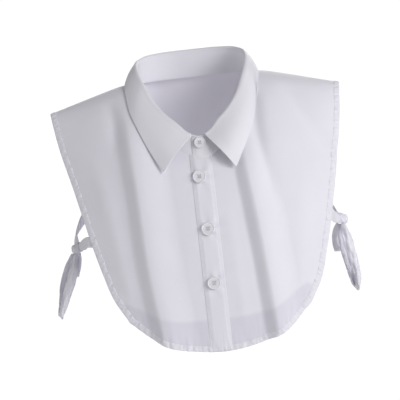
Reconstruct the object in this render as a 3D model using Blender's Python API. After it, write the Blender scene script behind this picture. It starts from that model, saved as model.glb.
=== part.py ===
"""False collar: the collar, fronts and back of a white shirt, worn under a sweater.

It keeps the form it has on a general figure: +Z up, the front faces -Y, and +X is the wearer's
left. The origin is the middle of the neck, level with the points where neck meets shoulder.
All sizes are in metres.
"""

import math

import bmesh
import bpy
from mathutils import Matrix, Vector

# Cloth and seams
PANEL_WALL = 0.0010
COLLAR_WALL = 0.0012
TAPE_WALL = 0.0010
SEAM_GAP = 0.0003

# The figure: the shoulder line, and how far the cloth stands before and behind it
SHOULDER_HALF = 0.1600
SHOULDER_SLOPE = 0.28
SLOPE_START = 0.0790
SLOPE_SOFTNESS = 0.0080
BODY_HALF_WIDTH = 0.1780
CHEST_DEPTH = 0.0980
BACK_DEPTH = 0.0960
CHEST_LEVEL = 0.2400
TOP_ROUNDING = 0.0415
PLAN_SQUARENESS = 2.4
PLAN_FULLNESS = 0.6
NAPE_REACH = 0.0530
NAPE_HALF_WIDTH = 0.0610
NAPE_BLEND_START = -0.0050
NORMAL_STEP = 0.0005
SEAM_FORWARD = 0.0100

# The neck ring, where the stand is sewn to the panels
NECK_HALF = 0.0670
NECK_FRONT = 0.0735
NECK_BACK = 0.0535
NAPE_SQUARENESS = 2.6
NECK_CLEAR = 0.0015

# The fold ring, where the collar turns over
FOLD_HALF = 0.0590
FOLD_FRONT = 0.0680
FOLD_BACK = 0.0525
FOLD_LINE = (  # angle from the front in degrees, height
    (0.0, -0.0565),
    (11.0, -0.0522),
    (24.0, -0.0425),
    (38.0, -0.0307),
    (52.0, -0.0165),
    (67.0, 0.0015),
    (90.0, 0.0185),
    (125.0, 0.0262),
    (155.0, 0.0284),
    (180.0, 0.0287),
)

# The stand's overlapping ends
STAND_LAP = 0.0100
LAP_LIFT = 0.0016
LAP_RAMP = (math.radians(15), math.radians(45))
STAND_TOP_GAP = 0.0030
STAND_CORNER = 0.0070

# The leaf
LEAF_START_LEFT = 0.0055
LEAF_START_RIGHT = 0.0073
LEAF_ROLL = (  # out from the fold ring, up from it
    (0.0000, -0.0025),
    (0.0004, -0.0008),
    (0.0016, 0.0003),
    (0.0030, -0.0009),
    (0.0038, -0.0032),
)
LEAF_ROLL_SHARE = 0.3
LEAF_CLEAR = 0.0022
LEAF_BOW = 0.0016
LEAF_SIDE_BOW = 0.0006
BOW_RISE = 0.4
BOW_ENDS = (math.radians(30), math.radians(80))
FRONT_LIFT = 0.0080
FRONT_LIFT_TURN = 0.92
FRONT_LIFT_END = math.radians(56)
LEAF_EDGE_RIGHT = (  # angle along the fold in degrees, half-width, distance along the panels' cloth
    (6.0, 0.0408, 0.1300),
    (24.0, 0.0487, 0.1149),
    (40.0, 0.0567, 0.0985),
    (56.0, 0.0641, 0.0800),
    (74.0, 0.0715, 0.0560),
    (92.0, 0.0748, 0.0240),
    (112.0, 0.0730, -0.0050),
    (135.0, 0.0600, -0.0266),
    (158.0, 0.0320, -0.0365),
    (180.0, 0.0000, -0.0383),
)
LEAF_EDGE_LEFT = (  # the same columns for the wearer's left
    (6.0, 0.0356, 0.1317),
    (24.0, 0.0430, 0.1174),
    (40.0, 0.0503, 0.1030),
    (56.0, 0.0580, 0.0860),
    (74.0, 0.0653, 0.0620),
    (92.0, 0.0712, 0.0275),
    (112.0, 0.0712, -0.0040),
    (135.0, 0.0600, -0.0266),
    (158.0, 0.0320, -0.0365),
    (180.0, 0.0000, -0.0383),
)

# The panels
FRONT_SIDE = (  # height, half-width of the armhole's and hem's edge
    (-0.0225, 0.1600),
    (-0.0600, 0.1542),
    (-0.1000, 0.1452),
    (-0.1400, 0.1362),
    (-0.1720, 0.1286),
    (-0.2000, 0.1210),
    (-0.2260, 0.1125),
    (-0.2510, 0.0980),
)
FRONT_LEAN = 0.0020
LEAN_SHARE = 0.5
FRONT_HEM = (  # place across, height
    (-0.0250, -0.2885),
    (0.0000, -0.2907),
    (0.0250, -0.2885),
    (0.0515, -0.2820),
    (0.0740, -0.2710),
    (0.0980, -0.2510),
)
BACK_SIDE = (  # height, half-width of the armhole's and hem's edge
    (-0.0225, 0.1600),
    (-0.0600, 0.1510),
    (-0.1000, 0.1415),
    (-0.1400, 0.1340),
    (-0.1720, 0.1295),
    (-0.2020, 0.1235),
    (-0.2290, 0.1150),
    (-0.2520, 0.1000),
)
BACK_HEM = (  # place across, height
    (-0.0250, -0.2862),
    (0.0000, -0.2880),
    (0.0250, -0.2862),
    (0.0530, -0.2805),
    (0.0780, -0.2695),
    (0.1000, -0.2520),
)
NECK_SHARE = 0.50
ROW_SPREAD = 1.25

# The button strip
PLACKET_HALF = 0.0118
PLACKET_SHIFT = -0.0010
UNDER_EDGE = 0.0080

# Folds: a fold's line is its height and place across, steep and soft are the widths of its two
# slopes, and it starts and is full at the heights given
FRONT_FOLDS = (
    {
        "line": ((-0.015, -0.086), (-0.105, -0.079), (-0.195, -0.075), (-0.280, -0.066)),
        "rise": 0.0080,
        "steep": 0.019,
        "soft": 0.036,
        "start": -0.015,
        "full": -0.090,
    },
    {
        "line": ((-0.100, 0.040), (-0.185, 0.048), (-0.275, 0.054)),
        "rise": 0.0080,
        "steep": 0.016,
        "soft": 0.032,
        "start": -0.060,
        "full": -0.115,
    },
)
BACK_FOLDS = (
    {
        "line": ((-0.030, -0.060), (-0.150, -0.058), (-0.280, -0.046)),
        "rise": 0.0060,
        "steep": 0.024,
        "soft": 0.045,
        "start": -0.050,
        "full": -0.150,
    },
    {
        "line": ((-0.030, 0.030), (-0.150, 0.044), (-0.280, 0.060)),
        "rise": 0.0045,
        "steep": 0.020,
        "soft": 0.040,
        "start": -0.060,
        "full": -0.170,
    },
)

# Buttons
BUTTON_RADIUS = 0.0074
BUTTON_THICK = 0.0026
BUTTON_RIM = 0.0016
BUTTON_DISH = 0.0007
BUTTON_ROUND = 0.0006
BUTTON_HOLE = 0.0009
BUTTON_HOLE_REACH = 0.0017
BUTTON_SIDES = 16
BUTTON_LIFT = 0.0002
COLLAR_BUTTON_SCALE = 0.86
COLLAR_BUTTON_HEIGHT = -0.0665
PLACKET_BUTTONS = (  # name, place across, height
    ("button_1", -0.0045, -0.1025),
    ("button_2", -0.0015, -0.1578),
    ("button_3", -0.0015, -0.2157),
)

# Ties
TAPE_WIDTH = 0.0115
KNOT_RADII = (0.0085, 0.0065, 0.0075)
FRONT_TIE_HEIGHT = -0.1620
BACK_TIE_HEIGHT = -0.1420
SEWN_REACH = (-0.0090, -0.0030, 0.0030)
SEWN_STEPS = 9
LOOP_STEPS = 28
TAIL_STEPS = 6
# Each side's tie: its knot, then each tape's points between its sewn end and the knot, and the
# way the tape faces at each of them and at its ends by the knot
TIES = {
    "right": {
        "knot": (-0.1474, -0.0120, -0.1733),
        "front": (((-0.1375, -0.0350, -0.1663),), ((-0.80, -0.55, 0.10), (-0.60, -0.75, 0.20))),
        "back": (
            ((-0.1490, 0.0220, -0.1600), (-0.1492, 0.0040, -0.1660)),
            ((-0.85, -0.10, 0.20), (-0.80, -0.50, 0.20), (-0.60, -0.75, 0.30)),
        ),
        "loop": (
            (
                (-0.1537, -0.0240, -0.1947),
                (-0.1630, -0.0260, -0.2182),
                (-0.1715, -0.0225, -0.2400),
                (-0.1735, -0.0180, -0.2465),
                (-0.1730, -0.0140, -0.2420),
                (-0.1662, -0.0095, -0.2127),
                (-0.1570, -0.0085, -0.1900),
            ),
            (
                (-0.30, -0.95, 0.00),
                (-0.30, -0.95, 0.00),
                (-0.20, -0.95, 0.00),
                (-0.10, -0.90, -0.40),
                (0.00, 0.00, -1.00),
                (0.10, 0.90, -0.40),
                (0.20, 0.95, 0.00),
                (0.30, 0.95, 0.00),
                (0.30, 0.95, 0.00),
            ),
        ),
        "tail": (
            ((-0.1510, 0.0020, -0.1900), (-0.1550, 0.0030, -0.2060)),
            ((-0.30, -0.95, 0.00), (-0.25, -0.95, 0.00), (-0.20, -0.95, 0.10)),
        ),
    },
    "left": {
        "knot": (0.1467, -0.0120, -0.1727),
        "front": (((0.1384, -0.0350, -0.1675),), ((0.80, -0.55, 0.10), (0.60, -0.75, 0.20))),
        "back": (
            ((0.1385, 0.0280, -0.1590), (0.1440, 0.0060, -0.1665)),
            ((0.85, -0.10, 0.20), (0.80, -0.50, 0.20), (0.60, -0.75, 0.30)),
        ),
        "loop": (
            (
                (0.1496, -0.0240, -0.1889),
                (0.1541, -0.0260, -0.2139),
                (0.1577, -0.0230, -0.2400),
                (0.1560, -0.0185, -0.2510),
                (0.1525, -0.0140, -0.2420),
                (0.1480, -0.0085, -0.2111),
                (0.1453, -0.0085, -0.1890),
            ),
            (
                (0.30, -0.95, 0.00),
                (0.25, -0.95, 0.00),
                (0.20, -0.95, 0.00),
                (0.10, -0.90, -0.40),
                (0.00, 0.00, -1.00),
                (-0.10, 0.90, -0.40),
                (-0.20, 0.95, 0.00),
                (-0.25, 0.95, 0.00),
                (-0.30, 0.95, 0.00),
            ),
        ),
        "tail": (
            ((0.1400, 0.0020, -0.1929), (0.1405, 0.0030, -0.2105)),
            ((0.30, -0.95, 0.00), (0.25, -0.95, 0.00), (0.20, -0.95, 0.10)),
        ),
    },
}


def blend(edge_0, edge_1, value):
    """0 below the first edge, 1 above the second, and a smooth step between them."""
    t = min(max((value - edge_0) / (edge_1 - edge_0), 0.0), 1.0)
    return t * t * (3.0 - 2.0 * t)


def through(rows, value, column=1):
    """The column's value on a smooth curve through the rows of a table, read at its first column."""
    rows = sorted(rows)
    value = min(max(value, rows[0][0]), rows[-1][0])
    last = len(rows) - 2
    i = min(sum(row[0] <= value for row in rows[1:-1]), last)
    a, b = rows[i], rows[i + 1]
    before, after = rows[max(i - 1, 0)], rows[min(i + 2, len(rows) - 1)]
    span = b[0] - a[0]
    t = (value - a[0]) / span
    slope_a = (b[column] - before[column]) / (b[0] - before[0])
    slope_b = (after[column] - a[column]) / (after[0] - a[0])
    return (
        (2 * t**3 - 3 * t**2 + 1) * a[column]
        + (t**3 - 2 * t**2 + t) * span * slope_a
        + (3 * t**2 - 2 * t**3) * b[column]
        + (t**3 - t**2) * span * slope_b
    )


def smooth_path(points, facing, steps):
    """Points along a smooth curve through a few points chosen by hand, and the facing at each."""
    distance = 0.0
    rows = []
    for i, point in enumerate(points):
        distance += (Vector(point) - Vector(points[max(i - 1, 0)])).length
        rows.append((distance, *point, *Vector(facing[i]).normalized()))
    reads = [distance * i / steps for i in range(steps + 1)]
    path = [Vector([through(rows, read, axis) for axis in (1, 2, 3)]) for read in reads]
    faces = [Vector([through(rows, read, axis) for axis in (4, 5, 6)]) for read in reads]
    return path, faces


def ridge_height(x):
    """The height of the shoulder line: level across the neck, then sloping to the shoulder tips."""
    out = abs(x) - SLOPE_START
    return -SHOULDER_SLOPE * 0.5 * (out + math.sqrt(out * out + SLOPE_SOFTNESS**2))


def drop_of(along):
    """How far the cloth has dropped at this distance along it from the shoulder line."""
    return math.sqrt(TOP_ROUNDING**2 + along**2) - TOP_ROUNDING


def along_to(x, z):
    """The distance along the cloth from the shoulder line down to this height."""
    drop = max(ridge_height(x) - z, 0.0)
    return math.sqrt(drop * (drop + 2 * TOP_ROUNDING))


def depth_at(x, depth):
    """The form's plan: how far it stands from the shoulder line at this place across."""
    return depth * (1.0 - min(abs(x) / BODY_HALF_WIDTH, 1.0) ** PLAN_SQUARENESS) ** PLAN_FULLNESS


def roundness(drop):
    """0 at the shoulder line, 1 from the chest's level down, along a quarter of an ellipse."""
    return math.sqrt(1.0 - (1.0 - min(drop / CHEST_LEVEL, 1.0)) ** 2)


def form_point(x, along):
    """A point of the figure's form. along is + in front of the shoulder line and - behind it."""
    drop = drop_of(along)
    nape = NAPE_REACH / (1.0 + (x / NAPE_HALF_WIDTH) ** 8)
    nape *= 1.0 - blend(NAPE_BLEND_START, SEAM_FORWARD, along)
    if along >= 0:
        y = nape - depth_at(x, CHEST_DEPTH) * roundness(drop)
    else:
        y = nape + (depth_at(x, BACK_DEPTH) - nape) * roundness(drop)
    return Vector((x, y, ridge_height(x) - drop))


def fold_rise(folds, x, z):
    """How far the folds lift the cloth off the form."""
    rise = 0.0
    for fold in folds:
        off = x - through(fold["line"], z)
        steep = fold["steep"]
        climb = blend(-steep / 2, steep / 2, off)
        fall = 1.0 - blend(steep / 2, steep / 2 + fold["soft"], off)
        rise += fold["rise"] * climb * fall * blend(-fold["start"], -fold["full"], -z)
    return rise


def cloth_point(x, along, out=0.0):
    """A point on the panels' middle surface, moved outwards by out."""
    here = form_point(x, along)
    across = form_point(x + NORMAL_STEP, along) - form_point(x - NORMAL_STEP, along)
    down = form_point(x, along + NORMAL_STEP) - form_point(x, along - NORMAL_STEP)
    normal = down.cross(across).normalized()
    folds = FRONT_FOLDS if along > 0 else BACK_FOLDS
    return here + normal * (fold_rise(folds, x, here.z) + out)


def front_point(x, z, out=0.0):
    """A point on the front panels at this height, moved outwards by out."""
    return cloth_point(x, along_to(x, z), out)


def back_point(x, z, out=0.0):
    """A point on the back panel at this height, moved outwards by out."""
    return cloth_point(x, -along_to(x, z), out)


def along_at(x, y):
    """Where along the cloth the form reaches this y: found by halving."""
    low, high = -0.30, 0.30
    for _ in range(40):
        middle = (low + high) / 2
        if form_point(x, middle).y > y:
            low = middle
        else:
            high = middle
    return (low + high) / 2


def ring_point(angle, half, front, back, out=0.0):
    """A ring's point in plan, an ellipse in front and squarer behind. angle is from the front."""
    s, c = math.sin(angle), math.cos(angle)
    if c >= 0:
        return (half + out) * s, -(front + out) * c
    power = 2.0 / NAPE_SQUARENESS
    return math.copysign((half + out) * abs(s) ** power, s), (back + out) * abs(c) ** power


def stand_foot(angle):
    """A point of the stand's foot, on the figure's form."""
    x, y = ring_point(angle, NECK_HALF, NECK_FRONT, NECK_BACK)
    return Vector((x, y, form_point(x, along_at(x, y)).z))


def fold_line(angle):
    """A point of the line where the collar turns over."""
    x, y = ring_point(angle, FOLD_HALF, FOLD_FRONT, FOLD_BACK)
    return Vector((x, y, through(FOLD_LINE, math.degrees(min(abs(angle), math.pi)))))


def fold_point(angle, out=0.0, up=0.0):
    """A point of the fold line, moved square to the line and to the stand."""
    step = 0.01
    here = fold_line(angle)
    ahead = (fold_line(angle + step) - fold_line(angle - step)).normalized()
    upwards = here - stand_foot(angle)
    upwards = (upwards - ahead * upwards.dot(ahead)).normalized()
    outwards = ahead.cross(upwards)
    if outwards.dot(Vector((math.sin(angle), -math.cos(angle), 0))) < 0:
        outwards = -outwards
    return here + outwards * out + upwards * up


def lap_lift(angle):
    """How far the stand's upper end stands out over its lower one, on the wearer's left."""
    return LAP_LIFT * (1.0 - blend(*LAP_RAMP, angle))


def neck_edge(angle):
    """Place across and distance along of the panels' neck edge, which meets the stand's foot."""
    in_front = max(math.cos(angle), 0.0)
    x, y = ring_point(angle, NECK_HALF, NECK_FRONT, NECK_BACK, NECK_CLEAR * (1 - in_front))
    return x, along_at(x, y) + NECK_CLEAR * in_front


def seam_angle(along):
    """The angle on the neck ring where the shoulder seam's edge, this far forward, meets it."""
    low, high = math.radians(60), math.radians(100)
    for _ in range(30):
        middle = (low + high) / 2
        if neck_edge(middle)[1] > along:
            low = middle
        else:
            high = middle
    return (low + high) / 2


def coons(top, bottom, inner, outer, u, v):
    """A four-sided patch between its edges, each a function to (place across, distance along)."""
    corners = (top(0), top(1), bottom(0), bottom(1))
    return [
        (1 - v) * top(u)[i]
        + v * bottom(u)[i]
        + (1 - u) * inner(v)[i]
        + u * outer(v)[i]
        - (1 - u) * (1 - v) * corners[0][i]
        - u * (1 - v) * corners[1][i]
        - (1 - u) * v * corners[2][i]
        - u * v * corners[3][i]
        for i in (0, 1)
    ]


def side_edge(rows, along):
    """The half-width of a panel's side edge at this distance along the cloth."""
    high, low = rows[0][0], rows[-1][0]
    for _ in range(30):
        z = (high + low) / 2
        if along_to(through(rows, z), z) < along:
            high = z
        else:
            low = z
    return through(rows, (high + low) / 2)


def front_hem_height(x):
    """The height of the fronts' hem, whose lowest point is a little to the wearer's left."""
    return through(FRONT_HEM, abs(x - FRONT_LEAN))


def front_patch(side, start):
    """The wearer's left front's edges for side 1, the right's for -1, from start across outwards."""
    seam_along = SEAM_FORWARD + SEAM_GAP
    seam = seam_angle(seam_along)
    first = math.asin(start / NECK_HALF)
    lean = side * FRONT_LEAN

    def top(u):
        if u <= NECK_SHARE:
            return neck_edge(first + (seam - first) * u / NECK_SHARE)
        neck_x = neck_edge(seam)[0]
        share = (u - NECK_SHARE) / (1 - NECK_SHARE)
        return neck_x + (SHOULDER_HALF - neck_x) * share, seam_along

    def bottom(u):
        x = start + (FRONT_HEM[-1][0] + lean - start) * math.sin(u * math.pi / 2)
        return x, along_to(x, front_hem_height(side * x))

    def inner(v):
        return start, top(0)[1] + v * (bottom(0)[1] - top(0)[1])

    def outer(v):
        along = seam_along + v * (bottom(1)[1] - seam_along)
        return side_edge(FRONT_SIDE, along) + lean * blend(0, LEAN_SHARE, v), along

    def place(u, v):
        x, along = coons(top, bottom, inner, outer, u, v**ROW_SPREAD)
        return cloth_point(side * x, along)

    return place


def back_patch():
    """The back panel, from the wearer's right to the left, seam to hem."""
    seam_along = SEAM_FORWARD - SEAM_GAP
    seam = seam_angle(seam_along)

    def top(u):
        if u <= NECK_SHARE:
            return neck_edge(math.pi - (math.pi - seam) * u / NECK_SHARE)
        neck_x = neck_edge(seam)[0]
        share = (u - NECK_SHARE) / (1 - NECK_SHARE)
        return neck_x + (SHOULDER_HALF - neck_x) * share, seam_along

    def bottom(u):
        x = BACK_HEM[-1][0] * math.sin(u * math.pi / 2)
        return x, -along_to(x, through(BACK_HEM, x))

    def inner(v):
        return 0.0, top(0)[1] + v * (bottom(0)[1] - top(0)[1])

    def outer(v):
        along = seam_along + v * (bottom(1)[1] - seam_along)
        return side_edge(BACK_SIDE, -along), along

    def place(u, v):
        across = 2 * u - 1
        x, along = coons(top, bottom, inner, outer, abs(across), v**ROW_SPREAD)
        return cloth_point(math.copysign(x, across), along)

    return place


def placket_place(u, v):
    """The button strip: the panels' own points at the centre front, moved out."""
    x = PLACKET_SHIFT + PLACKET_HALF * (2 * u - 1)
    neck = neck_edge(math.asin(x / NECK_HALF))[1]
    low = along_to(x, front_hem_height(x))
    return cloth_point(x, neck + v**ROW_SPREAD * (low - neck), PANEL_WALL + SEAM_GAP)


def stand_place(u, v):
    """The band round the neck, from its lower end round the back to its upper end."""
    lap = STAND_LAP / NECK_FRONT
    turn = lap - u * (2 * math.pi + 2 * lap)
    angle = turn if turn > -math.pi else turn + 2 * math.pi
    lift = lap_lift(max(angle, 0.0)) if turn < -math.pi else 0.0
    base = stand_foot(angle)
    top = fold_point(angle, 0.0, -STAND_TOP_GAP)
    from_end = min(u, 1 - u) * (2 * math.pi + 2 * lap) * NECK_FRONT
    if from_end < STAND_CORNER:
        short = STAND_CORNER - math.sqrt(STAND_CORNER**2 - (STAND_CORNER - from_end) ** 2)
        top = top + (base - top).normalized() * short
    point = base.lerp(top, v)
    outwards = Vector((math.sin(angle), -math.cos(angle), 0))
    return point + outwards * lift


def leaf_edge(angle):
    """The leaf's outer edge, lying on the panels."""
    degrees = math.degrees(abs(angle))
    edge = LEAF_EDGE_LEFT if angle > 0 else LEAF_EDGE_RIGHT
    x = math.copysign(through(edge, degrees, 1), angle)
    along = through(edge, degrees, 2)
    return cloth_point(x, along, LEAF_CLEAR + lap_lift(abs(angle)))


def leaf_place(u, v):
    """The turned-down collar: a small roll over the stand's top, then out to the edge."""
    first = math.asin(LEAF_START_LEFT / FOLD_HALF)
    last = -math.asin(LEAF_START_RIGHT / FOLD_HALF)
    if u < 0.5:
        angle = math.pi - (math.pi - first) * (1 - 2 * u)
    else:
        angle = -math.pi + (math.pi + last) * (2 * u - 1)
    lift = lap_lift(angle) if angle > 0 else 0.0
    rows = len(LEAF_ROLL) - 1
    if v <= LEAF_ROLL_SHARE:
        step = v / LEAF_ROLL_SHARE * rows
        i = min(int(step), rows - 1)
        low, high = LEAF_ROLL[i], LEAF_ROLL[i + 1]
        out = low[0] + (high[0] - low[0]) * (step - i)
        up = low[1] + (high[1] - low[1]) * (step - i)
        return fold_point(angle, out + lift, up)
    share = (v - LEAF_ROLL_SHARE) / (1 - LEAF_ROLL_SHARE)
    start = fold_point(angle, LEAF_ROLL[-1][0] + lift, LEAF_ROLL[-1][1])
    end = leaf_edge(angle)
    outwards = Vector((math.sin(angle), -math.cos(angle), BOW_RISE)).normalized()
    bow = LEAF_BOW * (1.0 - blend(*BOW_ENDS, abs(angle)))
    off = FRONT_LIFT * max(1.0 - abs(angle) / FRONT_LIFT_END, 0.0) ** 1.5
    forward = Vector((math.sin(angle), -math.cos(angle), 0))
    return (
        start.lerp(end, share)
        + outwards * (bow + LEAF_SIDE_BOW) * math.sin(math.pi * share)
        + forward * off * math.sin(FRONT_LIFT_TURN * math.pi * share)
    )


def material(name, colour, roughness):
    """A plain finish."""
    made = bpy.data.materials.new(name)
    made.use_nodes = True
    shader = made.node_tree.nodes["Principled BSDF"]
    shader.inputs["Base Color"].default_value = (*colour, 1.0)
    shader.inputs["Roughness"].default_value = roughness
    return made


def add_object(name, mesh, finish):
    """A named object of this mesh, smooth with sharp edges."""
    mesh.materials.clear()
    mesh.materials.append(finish)
    mesh.shade_smooth()
    mesh.set_sharp_from_angle(angle=math.radians(40))
    made = bpy.data.objects.new(name, mesh)
    bpy.context.scene.collection.objects.link(made)
    return made


def cloth(name, across, down, place, wall, finish):
    """A cloth piece: a grid laid on its surface by place(u, v), then given its wall."""
    shape = bmesh.new()
    bmesh.ops.create_grid(shape, x_segments=across, y_segments=down, size=0.5)
    for vertex in shape.verts:
        vertex.co = place(vertex.co.x + 0.5, vertex.co.y + 0.5)
    mesh = bpy.data.meshes.new(name)
    shape.to_mesh(mesh)
    shape.free()
    made = add_object(name, mesh, finish)
    thicken = made.modifiers.new("wall", "SOLIDIFY")
    thicken.thickness = wall
    thicken.offset = 0.0
    thicken.use_even_offset = True
    return made


def sewn_points(side, edge_rows, place, z):
    """Where a tape is sewn inside a panel's armhole edge and just past it, and its facing there."""
    edge = through(edge_rows, z)
    inside = -(PANEL_WALL / 2 + TAPE_WALL / 2 + 2 * SEAM_GAP)
    points = [place(side * (edge + past), z, inside) for past in SEWN_REACH]
    facing = [place(side * edge, z, 1.0) - place(side * edge, z)] * 3
    return points, facing


def tape(name, points, facing, steps, finish, width=TAPE_WIDTH):
    """A flat tape along a path, its width square to the path and to the way it faces."""
    path, faces = smooth_path(points, facing, steps)

    def place(u, v):
        i = round(v * steps)
        ahead = path[min(i + 1, steps)] - path[max(i - 1, 0)]
        side = ahead.cross(faces[i]).normalized()
        return path[i] + side * width * (u - 0.5)

    return cloth(name, 2, steps, place, TAPE_WALL, finish)


def knot(name, centre, finish):
    """A tied knot, as a small firm ball that is flatter from front to back."""
    shape = bmesh.new()
    bmesh.ops.create_icosphere(shape, subdivisions=2, radius=1.0)
    bmesh.ops.scale(shape, vec=KNOT_RADII, verts=shape.verts)
    bmesh.ops.translate(shape, vec=centre, verts=shape.verts)
    mesh = bpy.data.meshes.new(name)
    shape.to_mesh(mesh)
    shape.free()
    return add_object(name, mesh, finish)


def at_knot(centre, towards):
    """Where a tape that comes from this point meets the knot."""
    way = (Vector(towards) - Vector(centre)).normalized()
    reach = 1.0 / math.sqrt(sum((way[i] / KNOT_RADII[i]) ** 2 for i in range(3)))
    return Vector(centre) + way * (reach + SEAM_GAP)


def button_mesh(finish):
    """A dished four-hole button at the origin, its back on the XY plane and its face towards +Z."""
    rim = BUTTON_RADIUS - BUTTON_RIM
    profile = (
        (0.0, BUTTON_THICK - BUTTON_DISH),
        (rim, BUTTON_THICK - BUTTON_DISH),
        (rim + BUTTON_ROUND, BUTTON_THICK),
        (BUTTON_RADIUS - BUTTON_ROUND, BUTTON_THICK),
        (BUTTON_RADIUS, BUTTON_THICK / 2),
        (BUTTON_RADIUS - 2 * BUTTON_ROUND, 0.0),
        (0.0, 0.0),
    )
    shape = bmesh.new()
    line = [shape.verts.new((radius, 0, height)) for radius, height in profile]
    edges = [shape.edges.new(pair) for pair in zip(line, line[1:])]
    bmesh.ops.spin(
        shape,
        geom=line + edges,
        cent=(0, 0, 0),
        axis=(0, 0, 1),
        angle=2 * math.pi,
        steps=BUTTON_SIDES,
        use_merge=True,
    )
    bmesh.ops.remove_doubles(shape, verts=shape.verts, dist=0.00001)
    bmesh.ops.recalc_face_normals(shape, faces=shape.faces)
    disc = bpy.data.meshes.new("button_disc")
    shape.to_mesh(disc)
    shape.free()
    holes = bmesh.new()
    for i in range(4):
        turn = math.pi / 4 + i * math.pi / 2
        place = Matrix.Translation(
            (BUTTON_HOLE_REACH * math.cos(turn), BUTTON_HOLE_REACH * math.sin(turn), 0)
        )
        bmesh.ops.create_cone(
            holes,
            cap_ends=True,
            segments=6,
            radius1=BUTTON_HOLE,
            radius2=BUTTON_HOLE,
            depth=4 * BUTTON_THICK,
            matrix=place,
        )
    cutter_mesh = bpy.data.meshes.new("button_holes")
    holes.to_mesh(cutter_mesh)
    holes.free()
    blank = add_object("button_blank", disc, finish)
    cutter = bpy.data.objects.new("button_cutter", cutter_mesh)
    bpy.context.scene.collection.objects.link(cutter)
    cut = blank.modifiers.new("holes", "BOOLEAN")
    cut.operation = "DIFFERENCE"
    cut.object = cutter
    bpy.context.view_layer.update()
    graph = bpy.context.evaluated_depsgraph_get()
    mesh = bpy.data.meshes.new_from_object(blank.evaluated_get(graph))
    mesh.name = "shirt_button"
    bpy.data.objects.remove(blank)
    bpy.data.objects.remove(cutter)
    return mesh


def place_button(name, mesh, seat, normal, finish, scale=1.0):
    """A button with its back just off the cloth at seat, its face along normal."""
    copy = mesh.copy()
    turn = normal.to_track_quat("Z", "Y").to_matrix().to_4x4()
    copy.transform(Matrix.Translation(seat) @ turn @ Matrix.Scale(scale, 4))
    return add_object(name, copy, finish)


def build_buttons(finish):
    """Three buttons on the button strip and a smaller one on the stand."""
    mesh = button_mesh(finish)
    for name, x, z in PLACKET_BUTTONS:
        surface = front_point(x, z)
        normal = (front_point(x, z, 0.01) - surface).normalized()
        lift = PANEL_WALL * 1.5 + SEAM_GAP * 2 + BUTTON_LIFT
        place_button(name, mesh, surface + normal * lift, normal, finish)
    base = stand_foot(0.0)
    top = fold_point(0.0, 0.0, -STAND_TOP_GAP)
    share = (COLLAR_BUTTON_HEIGHT - base.z) / (top.z - base.z)
    normal = Vector((0, -(top.z - base.z), top.y - base.y)).normalized()
    seat = base.lerp(top, share) + Vector((0, -LAP_LIFT, 0))
    seat = seat + normal * (COLLAR_WALL / 2 + SEAM_GAP + BUTTON_LIFT)
    place_button("button_collar", mesh, seat, normal, finish, COLLAR_BUTTON_SCALE)
    bpy.data.meshes.remove(mesh)


def build_ties(finish):
    """Each side's two sewn tapes, tied at the side, with the bow's loop and end below the knot."""
    for side, tie in TIES.items():
        centre = tie["knot"]
        way = math.copysign(1.0, centre[0])
        knot(f"tie_knot_{side}", centre, finish)
        for panel, edge_rows, place, z in (
            ("front", FRONT_SIDE, front_point, FRONT_TIE_HEIGHT),
            ("back", BACK_SIDE, back_point, BACK_TIE_HEIGHT),
        ):
            points, facing = tie[panel]
            sewn, sewn_facing = sewn_points(way, edge_rows, place, z)
            route = [*sewn, *points, at_knot(centre, points[-1])]
            tape(f"tie_{panel}_{side}", route, [*sewn_facing, *facing], SEWN_STEPS, finish)
        points, facing = tie["loop"]
        route = [at_knot(centre, points[0]), *points, at_knot(centre, points[-1])]
        tape(f"tie_loop_{side}", route, facing, LOOP_STEPS, finish)
        points, facing = tie["tail"]
        tape(f"tie_tail_{side}", [at_knot(centre, points[0]), *points], facing, TAIL_STEPS, finish)


def build():
    """The whole false collar."""
    for old in list(bpy.data.objects):
        bpy.data.objects.remove(old)
    poplin = material("white_poplin", (0.80, 0.80, 0.84), 0.75)
    collar_cloth = material("white_collar_poplin", (0.82, 0.82, 0.86), 0.70)
    tie_tape = material("white_cotton_tape", (0.76, 0.76, 0.82), 0.80)
    resin = material("clear_white_resin", (0.80, 0.80, 0.84), 0.25)
    cloth("front_left", 22, 22, front_patch(1, UNDER_EDGE + SEAM_GAP), PANEL_WALL, poplin)
    cloth("front_right", 22, 22, front_patch(-1, -UNDER_EDGE), PANEL_WALL, poplin)
    cloth("placket", 3, 22, placket_place, PANEL_WALL, poplin)
    cloth("back", 44, 20, back_patch(), PANEL_WALL, poplin)
    cloth("collar_stand", 44, 3, stand_place, COLLAR_WALL, collar_cloth)
    cloth("collar_leaf", 44, 9, leaf_place, COLLAR_WALL, collar_cloth)
    build_buttons(resin)
    build_ties(tie_tape)


build()
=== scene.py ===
"""The looks of the false collar: its cloth, hems, stitches, buttons and tapes.

Every piece lies on the form of its solid, with the softer creases of the real cloth added. The
frame is the solids' own: +Z up, the front faces -Y, +X is the wearer's left, sizes in metres.
"""

import math
from bisect import bisect_right
from functools import cache

import bmesh
import bpy
from mathutils import Matrix, Vector, noise


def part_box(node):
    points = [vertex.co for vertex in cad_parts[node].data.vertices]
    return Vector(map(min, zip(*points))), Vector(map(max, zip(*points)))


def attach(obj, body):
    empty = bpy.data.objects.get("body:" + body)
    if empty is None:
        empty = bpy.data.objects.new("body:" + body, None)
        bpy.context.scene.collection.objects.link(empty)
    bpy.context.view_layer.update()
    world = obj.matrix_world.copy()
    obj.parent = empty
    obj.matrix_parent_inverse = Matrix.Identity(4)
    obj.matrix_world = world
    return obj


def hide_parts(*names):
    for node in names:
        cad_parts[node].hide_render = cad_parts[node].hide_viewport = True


bl_info = {
    "name": "False collar",
    "version": (1, 0, 0),
    "blender": (4, 5, 0),
    "location": "3D View > Sidebar > False collar",
    "description": "Builds a worn false collar: fronts, back, collar, buttons and side ties",
    "category": "Object",
}

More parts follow.
